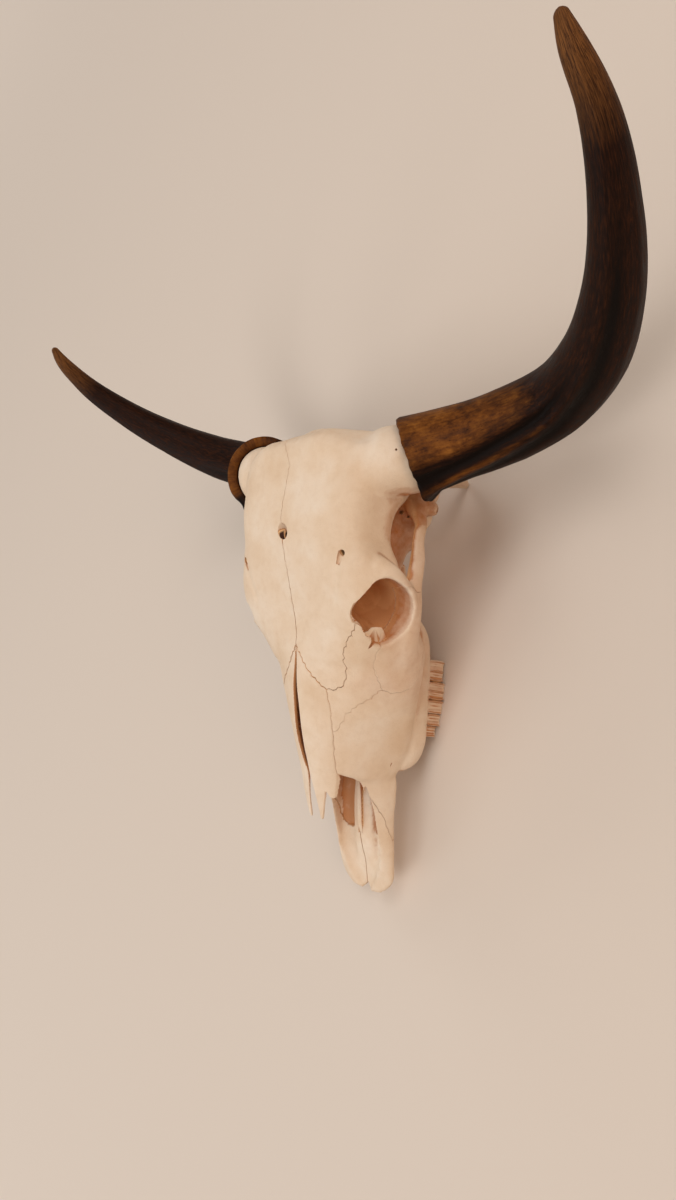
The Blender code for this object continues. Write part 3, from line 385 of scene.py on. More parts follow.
def horn_keratin():
    """Weathered horn: near-black keratin, rubbed tan near the rim, cracked brown tips, a soft gloss."""
    material, tree, shader = new_material("horn_keratin", 0.5, 1.54)
    shader.inputs["Specular IOR Level"].default_value = 0.08     # years of dust take off most of the gloss
    place = add(tree, "ShaderNodeTexCoord").outputs["Object"]
    fibre = add(tree, "ShaderNodeAttribute", attribute_name="fibre").outputs["Vector"]
    tan, tip, groove, inside = (add(tree, "ShaderNodeAttribute", attribute_name=label)
                                for label in ("tan", "tip", "groove", "inside"))
    # fibres run the length of the horn: 2.5 mm wide at its base, and 10 mm long
    streaks = add(tree, "ShaderNodeTexNoise", {"Vector": fibre, "Scale": 16, "Detail": 6, "Roughness": 0.62})
    streaky = streaks.outputs["Fac"]
    body = add(tree, "ShaderNodeValToRGB", {"Fac": streaky},
               stops=[(0.34, "#130703"), (0.74, "#40200B"), (0.52, "#251006")])
    # patches of the rubbed part, 18 mm across, with a little of the fibres in them
    patches = add(tree, "ShaderNodeTexNoise", {"Vector": place, "Scale": 55, "Detail": 8, "Roughness": 0.68})
    grain = add(tree, "ShaderNodeMix", {0: 0.35, 2: patches.outputs["Fac"], 3: streaky})
    rubbed = add(tree, "ShaderNodeValToRGB", {"Fac": grain.outputs[0]},
                 stops=[(0.38, "#3E1F09"), (0.66, "#935B22"), (0.5, "#683A12")])
    # its edge is broken up by blotches 10 mm wide and 40 mm long
    blotch = add(tree, "ShaderNodeTexNoise", {"Vector": fibre, "Scale": 4.2, "Detail": 4, "Roughness": 0.6})
    part = add(tree, "ShaderNodeMath", {0: blotch.outputs["Fac"], 1: 0.9, 2: tan.outputs["Fac"]},
               operation="MULTIPLY_ADD")
    mask = add(tree, "ShaderNodeMapRange", {"Value": part.outputs[0], 1: 0.72, 2: 1.3, 3: 0.0, 4: 1.0})
    tips = add(tree, "ShaderNodeValToRGB", {"Fac": streaky}, stops=[(0.36, "#41240F"), (0.64, "#85552B")])
    # drying cracks: dark dashes along the fibres, most of them near the tip
    dashes = add(tree, "ShaderNodeTexNoise", {"Vector": fibre, "Scale": 26, "Detail": 2, "Roughness": 0.5})
    many = add(tree, "ShaderNodeMath", {0: tip.outputs["Fac"], 1: 0.09, 2: dashes.outputs["Fac"]},
               operation="MULTIPLY_ADD")
    cracks = add(tree, "ShaderNodeMapRange", {"Value": many.outputs[0], 1: 0.68, 2: 0.72, 3: 0.0, 4: 0.85})
    # painted shade: the flutes are laid near black, and the inside, from the rim's inner slope down the
    # socket, darker brown
    colour = layered(tree, body.outputs[0], (mask, rubbed), (tip, tips), (groove, "#0E0603"),
                     (inside, "#3A1E0C"), (cracks, "#1B0D07"))
    tree.links.new(colour, shader.inputs["Base Color"])
    gloss = add(tree, "ShaderNodeMapRange", {"Value": streaky, 1: 0.3, 2: 0.7, 3: 0.42, 4: 0.66})
    tree.links.new(gloss.outputs[0], shader.inputs["Roughness"])
    relief = add(tree, "ShaderNodeBump", {"Height": streaky, "Strength": 0.35, "Distance": 0.0008})
    sunk = add(tree, "ShaderNodeBump", {"Height": cracks.outputs[0], "Normal": relief.outputs[0],
                                        "Strength": 0.5, "Distance": 0.0006}, invert=True)
    tree.links.new(sunk.outputs[0], shader.inputs["Normal"])
    return material


def worn_enamel():
    """Worn cheek-tooth enamel and dentine: glossier than bone, ivory, with painted shade in tea brown where
    the teeth meet and in their hollows.
    """
    material, tree, shader = new_material("worn_enamel", 0.35, 1.62)
    place = add(tree, "ShaderNodeTexCoord").outputs["Object"]
    stain = add(tree, "ShaderNodeAttribute", attribute_name="stain").outputs["Fac"]
    # bands of yellower and paler tooth, 6 mm across
    bands = add(tree, "ShaderNodeTexNoise", {"Vector": place, "Scale": 160, "Detail": 4, "Roughness": 0.6})
    ivory = add(tree, "ShaderNodeValToRGB", {"Fac": bands.outputs["Fac"]},
                stops=[(0.35, "#D8B78A"), (0.65, "#ECD6AE")])
    # painted shade, tea brown, where most of the sky is shut off, between and beside the teeth
    gap_shade = add(tree, "ShaderNodeMapRange", {"Value": stain, 1: 0.55, 2: 1.1, 3: 0.0, 4: 0.6})
    tree.links.new(layered(tree, ivory.outputs[0], (gap_shade, "#4A2610")), shader.inputs["Base Color"])
    relief = add(tree, "ShaderNodeBump", {"Height": bands.outputs["Fac"], "Strength": 0.3,
                                          "Distance": 0.0006})
    tree.links.new(relief.outputs[0], shader.inputs["Normal"])
    return material


# ---------------------------------------------------------------- shape helpers
def catmull(values, positions, where):
    """Smooth value at each place in where, through values given at rising positions."""
    values = np.asarray(values, float)
    positions = np.asarray(positions, float)
    slopes = np.gradient(values, positions, axis=0)
    index = np.clip(np.searchsorted(positions, where) - 1, 0, len(positions) - 2)
    step = (positions[index + 1] - positions[index])[:, None]
    t = ((where - positions[index]) / step[:, 0])[:, None]
    a, b = values[index], values[index + 1]
    u, v = slopes[index] * step, slopes[index + 1] * step
    return (a * (2 * t**3 - 3 * t**2 + 1) + u * (t**3 - 2 * t**2 + t)
            + b * (3 * t**2 - 2 * t**3) + v * (t**3 - t**2))


def new_object(name, points, faces):
    """Mesh object from points in the tables' millimetres, its faces turned outwards."""
    mesh = bpy.data.meshes.new(name)
    mesh.from_pydata([(x * MM, (y - CENTRE_Y) * MM, z * MM) for x, y, z in points], [], faces)
    bm = bmesh.new()
    bm.from_mesh(mesh)
    bmesh.ops.recalc_face_normals(bm, faces=bm.faces)
    bm.to_mesh(mesh)
    bm.free()
    obj = bpy.data.objects.new(name, mesh)
    bpy.context.scene.collection.objects.link(obj)
    return obj


def skin_rings(name, rings):
    """Closed body over rings of the same number of points, with flat ends."""
    count = len(rings[0])
    points = [p for ring in rings for p in ring]
    faces = [tuple(range(count))[::-1], tuple(range(len(points) - count, len(points)))]
    for r in range(len(rings) - 1):
        for k in range(count):
            a, b = r * count + k, r * count + (k + 1) % count
            faces += [(a, b, b + count), (a, b + count, a + count)]
    return new_object(name, points, faces)


def round_angles(count):
    """Even angles round a ring."""
    return [2 * math.pi * k / count for k in range(count)]


def spoke(beside, up, a):
    """Direction at an angle round a path, from the two directions across it."""
    return beside * math.cos(a) + up * math.sin(a)


def power(value, exponent):
    """Power of a number that keeps its sign."""
    return math.copysign(abs(value) ** exponent, value)


def loft(name, table, step=3.0, sides=96):
    """Body over the superellipse sections of a table such as BROW."""
    table = np.array(table, float)
    count = max(2, int((table[-1, 0] - table[0, 0]) / step))
    rings = []
    for y, top, wide, level, upper, low, lower in catmull(
            table, table[:, 0], np.linspace(table[0, 0], table[-1, 0], count)):
        ring = []
        for k in range(sides):
            angle = 2 * math.pi * (k + 0.5) / sides
            c, s = math.cos(angle), math.sin(angle)
            height, n = (top - level, upper) if s > 0 else (level - low, lower)
            ring.append((wide * power(c, 2 / n), y, level + height * power(s, 2 / n)))
        rings.append(ring)
    return skin_rings(name, rings)


def sweep(name, path, side=1, sides=24, step=4.0):
    """Body swept along a path of x, y, z and two half-thicknesses, the second one upright."""
    path = np.array(path, float)
    path[:, 0] *= side
    run = np.concatenate([[0], np.cumsum(np.linalg.norm(np.diff(path[:, :3], axis=0), axis=1))])
    fine = catmull(path, run, np.linspace(0, run[-1], max(3, int(run[-1] / step))))
    tangents = np.gradient(fine[:, :3], axis=0)
    rings = []
    for (x, y, z, across, upright), tangent in zip(fine, tangents):
        along = Vector(tangent).normalized()
        up = Vector((0, 0, 1)) if abs(along.z) < 0.8 else Vector((0, 1, 0))
        beside = along.cross(up).normalized()
        up = beside.cross(along)
        centre = Vector((x, y, z))
        rings.append([centre + spoke(beside * across, up * upright, a) for a in round_angles(sides)])
    return skin_rings(name, rings)


def ellipsoid(name, shape, side=1):
    """Egg from its centre and half-axes."""
    (x, y, z), half = shape
    bm = bmesh.new()
    bmesh.ops.create_icosphere(bm, subdivisions=5, radius=1)
    points = [(side * x + v.co.x * half[0], y + v.co.y * half[1], z + v.co.z * half[2]) for v in bm.verts]
    faces = [tuple(v.index for v in f.verts) for f in bm.faces]
    bm.free()
    return new_object(name, points, faces)


def cone(name, start, end, start_radius, end_radius, sides=48, squash=1.0, side=1, rings=2):
    """Round bar between two points; squash flattens it upright."""
    start, end = Vector(start), Vector(end)
    start.x *= side
    end.x *= side
    along = (end - start).normalized()
    up = Vector((0, 0, 1)) if abs(along.z) < 0.8 else Vector((0, 1, 0))
    beside = along.cross(up).normalized()
    up = beside.cross(along)
    body = []
    for row in range(rings):
        t = row / (rings - 1)
        radius = start_radius + (end_radius - start_radius) * t
        body.append([start + (end - start) * t + spoke(beside, up * squash, a) * radius
                     for a in round_angles(sides)])
    return skin_rings(name, body)


def eye_shape(side, angle):
    """Middle and axis of the eye's opening, the direction at an angle, and its radius and rim there."""
    flip = Vector((side, 1, 1))
    axis = EYE_AXIS * flip
    up = (Vector((0, 0, 1)) - axis * axis.z).normalized()
    front = up.cross(axis) * -side
    table = np.array(EYE_OUTLINE + [(a + 360, r, stout) for a, r, stout in EYE_OUTLINE[:4]], float)
    radius, stout = catmull(table[:, 1:], table[:, 0], np.array([max(angle % 360, 0.01)]))[0]
    out = front * math.cos(math.radians(angle)) + up * math.sin(math.radians(angle))
    return EYE_CENTRE * flip, axis, out, radius, stout


def eye_body(name, side, steps, sides=72):
    """Body along the eye's axis: the opening's own outline outside, narrowing to a round end."""
    rings = []
    for depth, wider, blend in steps:
        ring = []
        for k in range(sides):
            centre, axis, out, radius, stout = eye_shape(side, 360 * k / sides)
            round_radius = 29 - (29 - EYE_APEX) * max(0, -depth) / EYE_DEPTH
            widen = wider * (stout if depth > 0 else 1)
            ring.append(centre + axis * depth + out * ((1 - blend) * radius + blend * round_radius + widen))
        rings.append(ring)
    return skin_rings(name, rings)


def eye_break(side, sides=240):
    """Cut that leaves the front and upper edge of the opening thin and broken."""
    chance = random.Random(31)
    jag = [chance.uniform(-0.4, 0.4) if k < sides // 6 else 0 for k in range(sides)]
    rings = []
    for depth, more in ((16, 0.6), (4, 0.2), (-5, 0), (-9, -4)):
        ring = []
        for k in range(sides):
            angle = 360 * k / sides
            centre, axis, out, _, _ = eye_shape(side, angle)
            edge = np.interp(angle, [a for a, _ in EYE_BREAK], [r for _, r in EYE_BREAK]) + jag[k]
            ring.append(centre + axis * depth + out * (edge + more))
        rings.append(ring)
    return skin_rings("eye_break", rings)


def eye_rim(side, sides=72, tube=14):
    """Raised rim round the eye's opening, stoutest behind and below."""
    points, faces = [], []
    for k in range(sides):
        centre, axis, out, radius, stout = eye_shape(side, 360 * k / sides)
        half = EYE_RIM * stout
        for j, b in enumerate(round_angles(tube)):
            points.append(centre + out * (radius + (0.8 + math.cos(b)) * half) + axis * half * math.sin(b))
            faces.append((k * tube + j, (k + 1) % sides * tube + j,
                          (k + 1) % sides * tube + (j + 1) % tube, k * tube + (j + 1) % tube))
    return new_object("eye_rim", points, faces)


def flake(side):
    """Thin splinter of bone that stands in the front of the eye socket."""
    centre, axis, front, _, _ = eye_shape(side, 0)
    up = eye_shape(side, 90)[2]
    rings = []
    for depth, turn in ((FLAKE_DEPTH + 0.8, 0.0), (FLAKE_DEPTH - 0.8, 0.4)):
        rings.append([centre + axis * (depth + FLAKE_LEAN * (across - FLAKE_FOOT))
                      + front * (across + turn) + up * (high - turn) for across, high in EYE_FLAKE])
    return skin_rings("flake", rings)


def crack(path, wide, deep, seed):
    """Thin wedge along a path on the surface, for opening a suture between two bones."""
    chance = random.Random(seed)
    rings = []
    for (x, y, z), (nx, ny, nz) in zip(path, path[1:] + path[-1:]):
        steps = max(1, round((Vector((nx, ny, nz)) - Vector((x, y, z))).length / 2.6))
        for k in range(steps):
            t = k / steps
            p = Vector((x + (nx - x) * t + chance.uniform(-0.7, 0.7), y + (ny - y) * t, z + (nz - z) * t))
            half = wide / 2 * chance.uniform(0.55, 1.25)
            rings.append([p + Vector((-half, 0, 5)), p + Vector((-half * 0.4, 0, -deep)),
                          p + Vector((half * 0.4, 0, -deep)), p + Vector((half, 0, 5))])
    return skin_rings("crack", rings)


def settle(obj):
    """Makes the object's modified shape its own."""
    depsgraph = bpy.context.evaluated_depsgraph_get()
    mesh = bpy.data.meshes.new_from_object(obj.evaluated_get(depsgraph))
    obj.modifiers.clear()
    old = obj.data
    obj.data = mesh
    bpy.data.meshes.remove(old)
    return obj


def remove(objects):
    """Deletes the objects with their meshes."""
    for obj in list(objects):
        mesh = obj.data
        bpy.data.objects.remove(obj)
        bpy.data.meshes.remove(mesh)


def combine(obj, others, operation):
    """One Boolean of the object with a collection of closed bodies, which are then removed."""
    group = bpy.data.collections.new("group")
    for other in others:
        group.objects.link(other)
    modifier = obj.modifiers.new("combine", "BOOLEAN")
    modifier.operation = operation
    modifier.solver = "MANIFOLD"
    modifier.operand_type = "COLLECTION"
    modifier.collection = group
    settle(obj)
    remove(others)
    bpy.data.collections.remove(group)
    return obj


def largest(obj):
    """Keeps only the object's largest closed surface."""
    bm = bmesh.new()
    bm.from_mesh(obj.data)
    seen, islands = set(), []
    for start in bm.verts:
        if start in seen:
            continue
        island, queue = [], [start]
        seen.add(start)
        while queue:
            vert = queue.pop()
            island.append(vert)
            for edge in vert.link_edges:
                other = edge.other_vert(vert)
                if other not in seen:
                    seen.add(other)
                    queue.append(other)
        islands.append(island)
    islands.sort(key=len)
    for island in islands[:-1]:
        bmesh.ops.delete(bm, geom=island, context="VERTS")
    bm.to_mesh(obj.data)
    bm.free()
    return obj


def fuse(obj, grain, passes):
    """Fuses the body at a grain and smooths it."""
    remesh = obj.modifiers.new("fuse", "REMESH")
    remesh.mode = "VOXEL"
    remesh.voxel_size = grain * MM
    smooth = obj.modifiers.new("smooth", "SMOOTH")
    smooth.factor = 0.5
    smooth.iterations = passes
    return largest(settle(obj))


def copy_of(obj, name):
    """The object once more, under a name of its own."""
    copy = bpy.data.objects.new(name, obj.data.copy())
    bpy.context.scene.collection.objects.link(copy)
    return copy


def grown(outline, by):
    """The outline with each side moved out by a distance."""
    area = sum(a[0] * b[1] - b[0] * a[1] for a, b in zip(outline, outline[1:] + outline[:1]))
    sign = 1 if area > 0 else -1
    moved = []
    for before, here, after in zip(outline[-1:] + outline[:-1], outline, outline[1:] + outline[:1]):
        first = Vector((here[1] - before[1], before[0] - here[0])).normalized() * sign
        second = Vector((after[1] - here[1], here[0] - after[0])).normalized() * sign
        corner = (first + second) / max(0.35, 1 + first.dot(second))
        moved.append((here[0] + corner.x * by, here[1] + corner.y * by))
    return moved


def jagged(points, depth, pitch, seed):
    """The line with small uneven teeth, as two bones interlock along a suture."""
    chance = random.Random(seed)
    out = [tuple(points[0])]
    for (ax, ay), (bx, by) in zip(points, points[1:]):
        length = math.hypot(bx - ax, by - ay)
        steps = max(1, round(length / pitch))
        for k in range(1, steps + 1):
            t = k / steps
            push = 0 if k == steps else depth * chance.uniform(0.35, 1) * (1 if k % 2 else -1)
            out.append((ax + (bx - ax) * t + push * (ay - by) / length,
                        ay + (by - ay) * t + push * (bx - ax) / length))
    return out


def plan_block(outline, low, high, side, by=0.0):
    """Upright block over an outline in plan."""
    outline = [(side * x, y) for x, y in grown(outline, by)]
    return skin_rings("block", [[(x, y, z) for x, y in outline] for z in (low, high)])


def side_block(outline, near, far, side, by=0.0, slope=0.0):
    """Block across the skull, over an outline seen from beside; slope turns its near end."""
    outline = grown(outline, by)
    return skin_rings("block", [[(side * (near + slope * y), y, z) for y, z in outline],
                                [(side * far, y, z) for y, z in outline]])


def inner_face(depth):
    """The face's own loft, a depth inside its surface."""
    rows = []
    for y, top, wide, level, upper, low, lower in FACE:
        skin = depth * np.interp(y, [-168, -140], [0.55, 1])        # thin towards the nasals' tips
        rows.append((y, top - skin, wide - skin, level, upper, low - 30, lower))
    rows[0] = (rows[0][0] - 40, *rows[0][1:])
    return loft("inner_face", rows)


def parted(body, name, keep, cut):
    """Parts a bone off a body: it is what lies in keep, and the body loses the slightly wider cut."""
    bone = combine(copy_of(body, name), keep, "INTERSECT")
    combine(body, cut, "DIFFERENCE")
    return largest(bone)


# ---------------------------------------------------------------- the bones' common body
def bone_masses():
    """Face, muzzle, braincase, cheek bars and processes, still overlapping."""
    parts = [loft("face", [row for row in FACE if row[0] >= -150]), loft("muzzle", MUZZLE),
             ellipsoid("brain", BRAIN), ellipsoid("occiput", OCCIPUT), ellipsoid("temple", TEMPLE),
             sweep("base", BASE_BAR), sweep("poll_crest", POLL_CREST),
             ellipsoid("protuberance", PROTUBERANCE), ellipsoid("neck_ridge", NECK_RIDGE)]
    for side in (1, -1):
        parts += [
            sweep("cheek_bar", CHEEK_BAR, side),
            sweep("eye_bar", EYE_BAR, side),
            sweep("paracondyle", PARACONDYLE, side),
            sweep("tooth_ridge", TOOTH_RIDGE, side),
            sweep("ear_tube", EAR_TUBE, side),
            sweep("hamulus", HAMULUS, side),
            bone_core(side),
            ellipsoid("mastoid", MASTOID, side),
            ellipsoid("condyle", CONDYLE, side),
            ellipsoid("bulla", BULLA, side),
            ellipsoid("condyle_foot", CONDYLE_FOOT, side),
            eye_rim(side),
            eye_body("eye_cup", side, CUP_STEPS),
        ]
    return parts


def hollows():
    """Nose passage and notch, eye sockets, foramen magnum and choana, whose edges are rounded."""
    cuts = [loft("passage", PASSAGE), side_block(NOTCH_EDGE, -60, 60, 1),
            cone("foramen_magnum", (0, 225, 64), (0, 165, 76), 19, 14),
            cone("choana", (0, 66, 60), (0, 8, 56), 13, 10, squash=1.2), plan_block(FRONT_NOTCH, 0, 60, 1)]
    for side in (1, -1):
        cuts.append(eye_body("eye_socket", side, SOCKET_STEPS))
        cuts.append(plan_block(FISSURE, 0, 60, side))
    return cuts


def holes():
    """Holes for nerves, the round one in the brow, its crack, and the room for the horn sheaths."""
    cuts = [cone("round_hole", (0.5, 91.5, 226), (0.5, 91.5, 180), 5.8, 5.2, rings=24),
            cone("round_hole_edge", (0.5, 91.5, 213), (0.5, 91.5, 201), 9.9, 5.6, rings=8)]
    cuts += [crack(BROW_CRACK[first:last], wide, deep, seed) for first, last, wide, deep, seed in CRACK_RUNS]
    for side in (1, -1):
        cuts += [
            sheath_room(side),
            cone("brow_hole", (85, 60, 214), (79.5, 76, 176), 4.1, 3, rings=20, side=side),
            sweep("brow_slot", BROW_SLOT, side),
            cone("brow_pore", (129, 166.2, 185), (120, 167, 170), 1.2, 0.9, sides=12, side=side),
            cone("cheek_hole", (58, -146, 64), (48.9, -129.4, 65.2), 3.6, 2.4, squash=0.35, rings=4,
                 side=side),
            cone("temple_hole", (70, 129, 108), (50, 133, 102), 2.6, 1.8, rings=12, side=side),
            cone("temple_hole", (72, 126, 97), (52, 134, 93), 2.8, 2, rings=12, side=side),
            cone("ear_hole", (100, 134, 74), (74, 140, 91), 3.6, 2.8, side=side),
        ]
    return cuts


# ---------------------------------------------------------------- teeth
def tooth(name, front, length, width, ribs, crown, side):
    """One cheek tooth: upright ribs outside, two lobed inside, flat where it grinds."""
    chance = random.Random(name)
    middle = front + length / 2
    line = np.array(TOOTH_LINE, float)
    x_middle = catmull(line[:, 1:], line[:, 0], np.array([middle]))[0, 0]
    # place, height and width of each rib along the outer face
    styles = [(min(0.94, max(0.06, t / ribs / 2 + chance.uniform(-0.03, 0.03))),
               (3.4 if t % 2 == 0 else 1.3) * chance.uniform(0.6, 1.1),
               (0.034 if t % 2 == 0 else 0.07) * 2 / ribs) for t in range(2 * ribs + 1)]
    steps = 60
    outline = []
    for k in range(steps + 1):
        t = k / steps
        rib = sum(high * math.exp(-((t - place) / wide) ** 2) for place, high, wide in styles)
        outline.append((width / 2 - 2.2 + rib, (t - 0.5) * length))
    for k in range(steps // 2 + 1):
        t = 1 - 2 * k / steps
        lobe = abs(math.sin(math.pi * t * min(ribs, 2))) ** 0.7
        outline.append((-width / 2 + 3.2 * (1 - lobe), (t - 0.5) * length * 0.94))
    rings = []
    for z, scale, tilt in ((0, 0.97, 0), (3, 0.99, 0.1), (9, 1, 0.4), (16, 1, 0.8), (TOOTH_ROOT, 0.86, 1.6)):
        ring = []
        for k, (x, y) in enumerate(outline):
            worn = 1.6 * math.sin(4.2 * math.pi * ribs * k / steps + 1) if k <= steps and z < 4 else 0
            ring.append((side * (x_middle + x * scale + tilt), middle + y * scale,
                         crown + max(0, worn) + z * (TOOTH_ROOT - crown) / TOOTH_ROOT))
        rings.append(ring)
    return skin_rings(name, rings)


def teeth(side):
    row, front = [], TOOTH_FRONT
    for name, length, width, ribs, crown in TEETH:
        row.append(tooth(name, front, length - TOOTH_GAP, width, ribs, crown, side))
        front += length
    return row


# ---------------------------------------------------------------- horns
def horn_axis(side, count):
    """Middles, radii and cross directions at even steps along the horn."""
    line = np.array([HORN_RIM[side]] + HORN_LINE, float)
    run = np.concatenate([[0], np.cumsum(np.linalg.norm(np.diff(line[:, :3], axis=0), axis=1))])
    fine = catmull(line, run, run[-1] * np.linspace(0, 1, count) ** HORN_CROWD)
    tangents = [Vector(t).normalized() for t in np.gradient(fine[:, :3], axis=0)]
    tangents[0] = (Vector(catmull(line, run, np.array([20.0]))[0, :3]) - Vector(line[0, :3])).normalized()
    beside = tangents[0].cross(Vector((0, 0, 1))).normalized()
    rows = []
    for (x, y, z, radius), along in zip(fine, tangents):
        beside = (beside - along * beside.dot(along)).normalized()
        rows.append((Vector((x, y, z)), radius, along, beside, beside.cross(along)))
    return rows, run[-1]


def round_table(table, angle):
    """Smooth value at an angle in degrees, through a table of angles and values that closes on itself."""
    turn = [(a - 360, v) for a, v in table] + list(table) + [(a + 360, v) for a, v in table]
    turn = np.array(turn, float)
    return catmull(turn[:, 1:], turn[:, 0], np.array([angle % 360]))[0, 0]


def flute(t, angle, shape):
    """How deep one long flute is at a part of the horn's length and an angle in degrees."""
    depth, wide, end, line = shape
    middle = np.interp(t, [row[0] for row in line], [row[1] for row in line])
    away = (angle - middle + 180) % 360 - 180
    fade = min(1.0, max(0.0, (end - t) / 0.2))
    wide *= 1 + 0.6 * max(0.0, 1 - t / 0.06)
    return depth * fade * math.exp(-(away / wide) ** 2)


def horn_radius(side, radius, a, t):
    """Radius of the sheath's outside at an angle and a part of its length."""
    angle = math.degrees(a)
    cut = sum(flute(t, angle, shape) for shape in HORN_FLUTES)
    lip = HORN_LIP[side] * max(0, math.cos(a + 0.12)) ** 8 * max(0, 1 - t / 0.12) ** 2
    flare = RIM_FLARE[side] * max(0, 1 - t / 0.05) ** 2
    if side > 0:
        # the left sheath is pinched below, just beyond its rim
        away = (angle + 40 + 180) % 360 - 180
        cut += 0.13 * min(1, t / 0.03) * min(1, max(0, (0.2 - t) / 0.1)) * math.exp(-(away / 34) ** 2)
    return radius * (1 - cut + lip + flare)


def socket_point(side, depth):
    """Middle and radius of the horn's socket at a depth past the rim."""
    rim = Vector(HORN_RIM[side][:3])
    along = (Vector(HORN_LINE[0][:3]) - rim).normalized()
    radius = (HORN_RIM[side][3] - SOCKET_WALL) * (1 - (1 - SOCKET_TAPER) * depth / SOCKET_DEPTH)
    return rim + along * depth, radius


def bone_core(side):
    """Stub of the brow that the sheath sits on."""
    path = [(*row, row[3]) for row in CORE]
    for depth, clear in CORE_IN_SOCKET:
        centre, radius = socket_point(side, depth)
        path.append((*centre, radius - clear, radius - clear))
    return sweep("core", path, side, sides=48)


def sheath_room(side):
    """The sheath's wall with a little air round it, for cutting the bone clear of it."""
    rows, length = horn_axis(side, 60)
    rings = []
    for row, (centre, radius, along, beside, up) in enumerate(rows[:14]):
        ring = []
        for a in round_angles(72):
            back = 2.2 + round_table(RIM_REACH[side], math.degrees(a)) if row == 0 else 0
            wide = 0.6 + horn_radius(side, radius, a, (row / 59) ** HORN_CROWD)
            p = centre - along * back + spoke(beside, up, a) * wide
            ring.append((side * p.x, p.y, p.z))
        rings.append(ring)
    start, start_radius = socket_point(side, -24)
    end, end_radius = socket_point(side, SOCKET_DEPTH + 20)
    inside = cone("inside", start, end, start_radius - 0.5, end_radius - 0.5, side=side)
    return combine(skin_rings("room", rings), [inside], "DIFFERENCE")


def horn(name, side):
    """Curved sheath in one skin: outside from the tip to the rim, over the rim and down the socket."""
    rows, length = horn_axis(side, HORN_RINGS)
    angles = round_angles(HORN_SIDES)
    reach = [round_table(RIM_REACH[side], math.degrees(a)) + 0.5 * math.sin(9 * a + side)
             + 0.35 * math.sin(23 * a) for a in angles]
    points, marks = [], []

    def point(p, t, a, inside=0.0):
        points.append((side * p.x, p.y, p.z))
        flutes = [flute(t, math.degrees(a), shape) for shape in HORN_FLUTES]
        groove = min(1, sum(max(0, deep) for deep in flutes) / 0.06)
        crest = min(1, sum(max(0, -deep) for deep in flutes) / 0.03)
        marks.append((math.cos(a), math.sin(a), t * length / 160, t, groove, crest, math.degrees(a), inside))

    # the blunt tip, then the outside down to the rim
    centre, radius, along, beside, up = rows[-1]
    point(centre + along * 3.2, 1.0, 0.0)
    for drop, part in ((2.6, 0.45), (1.6, 0.75), (0.6, 0.93)):
        for a in angles:
            point(centre + along * drop + spoke(beside, up, a) * radius * part, 1.0, a)
    for index in range(HORN_RINGS - 1, -1, -1):
        centre, radius, along, beside, up = rows[index]
        t = (index / (HORN_RINGS - 1)) ** HORN_CROWD
        for k, a in enumerate(angles):
            out = reach[k] * max(0, 1 - t / 0.03)
            wide = horn_radius(side, radius, a, t)
            point(centre - along * out + spoke(beside, up, a) * wide, t, a)
    # over the rim, and down the socket to its round end; the inside value rises across the rim for its
    # painted shade
    middle, radius, along, beside, up = rows[0]
    for part, drop in ((0.25, 1.0), (0.6, 1.3), (0.9, 0.8)):
        for k, a in enumerate(angles):
            wide = horn_radius(side, radius, a, 0) * (1 - part) + (radius - SOCKET_WALL) * part
            out = reach[k] * (1 - part * 0.8) + drop
            point(middle - along * out + spoke(beside, up, a) * wide, 0.0, a, part * 0.6)
    for depth in (0, 4, 10, 18, 28, 38, 48, 56, 60, 61.5):
        centre, radius = socket_point(side, depth)
        for a in angles:
            wide = radius * (1 if depth < 50 else (1 - ((depth - 50) / 12.5) ** 2) ** 0.5)
            point(centre + spoke(beside, up, a) * wide, depth / length, a, 1.0)
    end, _ = socket_point(side, SOCKET_DEPTH)
    point(end, SOCKET_DEPTH / length, 0.0, 1.0)

    rings = (len(points) - 2) // HORN_SIDES
    faces = []
    for k in range(HORN_SIDES):
        n = (k + 1) % HORN_SIDES
        faces.append((0, 1 + k, 1 + n))
        faces.append((len(points) - 1, 1 + (rings - 1) * HORN_SIDES + n, 1 + (rings - 1) * HORN_SIDES + k))
        for r in range(rings - 1):
            a, b = 1 + r * HORN_SIDES + k, 1 + r * HORN_SIDES + n
            faces.append((a, a + HORN_SIDES, b + HORN_SIDES, b))
    obj = new_object(name, points, faces)
    across, over, run, t, groove, crest, angle, inside = np.array(marks).T
    # the worn, tan part: the upper side near the rim, and the crests of the ridges
    upper = np.exp(-((angle - 95) / 52) ** 4) * np.clip((0.38 - t) / 0.28, 0, 1)
    crests = crest * np.clip((0.34 - t) / 0.22, 0, 1)
    if side > 0:
        tan = np.maximum(upper, 0.75 * crests)
    else:
        lip = np.clip((np.abs((angle + 180) % 360 - 180) - 26) / 14, 0, 1)
        tan = np.maximum(1.3 * lip * np.clip((0.022 - t) / 0.006, 0, 1), 0.2 * crests)
    layers = {"tan": tan * (1 - 0.9 * groove), "groove": groove, "tip": np.clip((t - 0.84) / 0.13, 0, 1),
              "inside": inside}
    for label, values in layers.items():
        write_values(obj, label, values)
    fibre = obj.data.attributes.new("fibre", "FLOAT_VECTOR", "POINT")
    fibre.data.foreach_set("vector", np.stack([across, over, run], 1).astype(np.float32).ravel())
    return obj


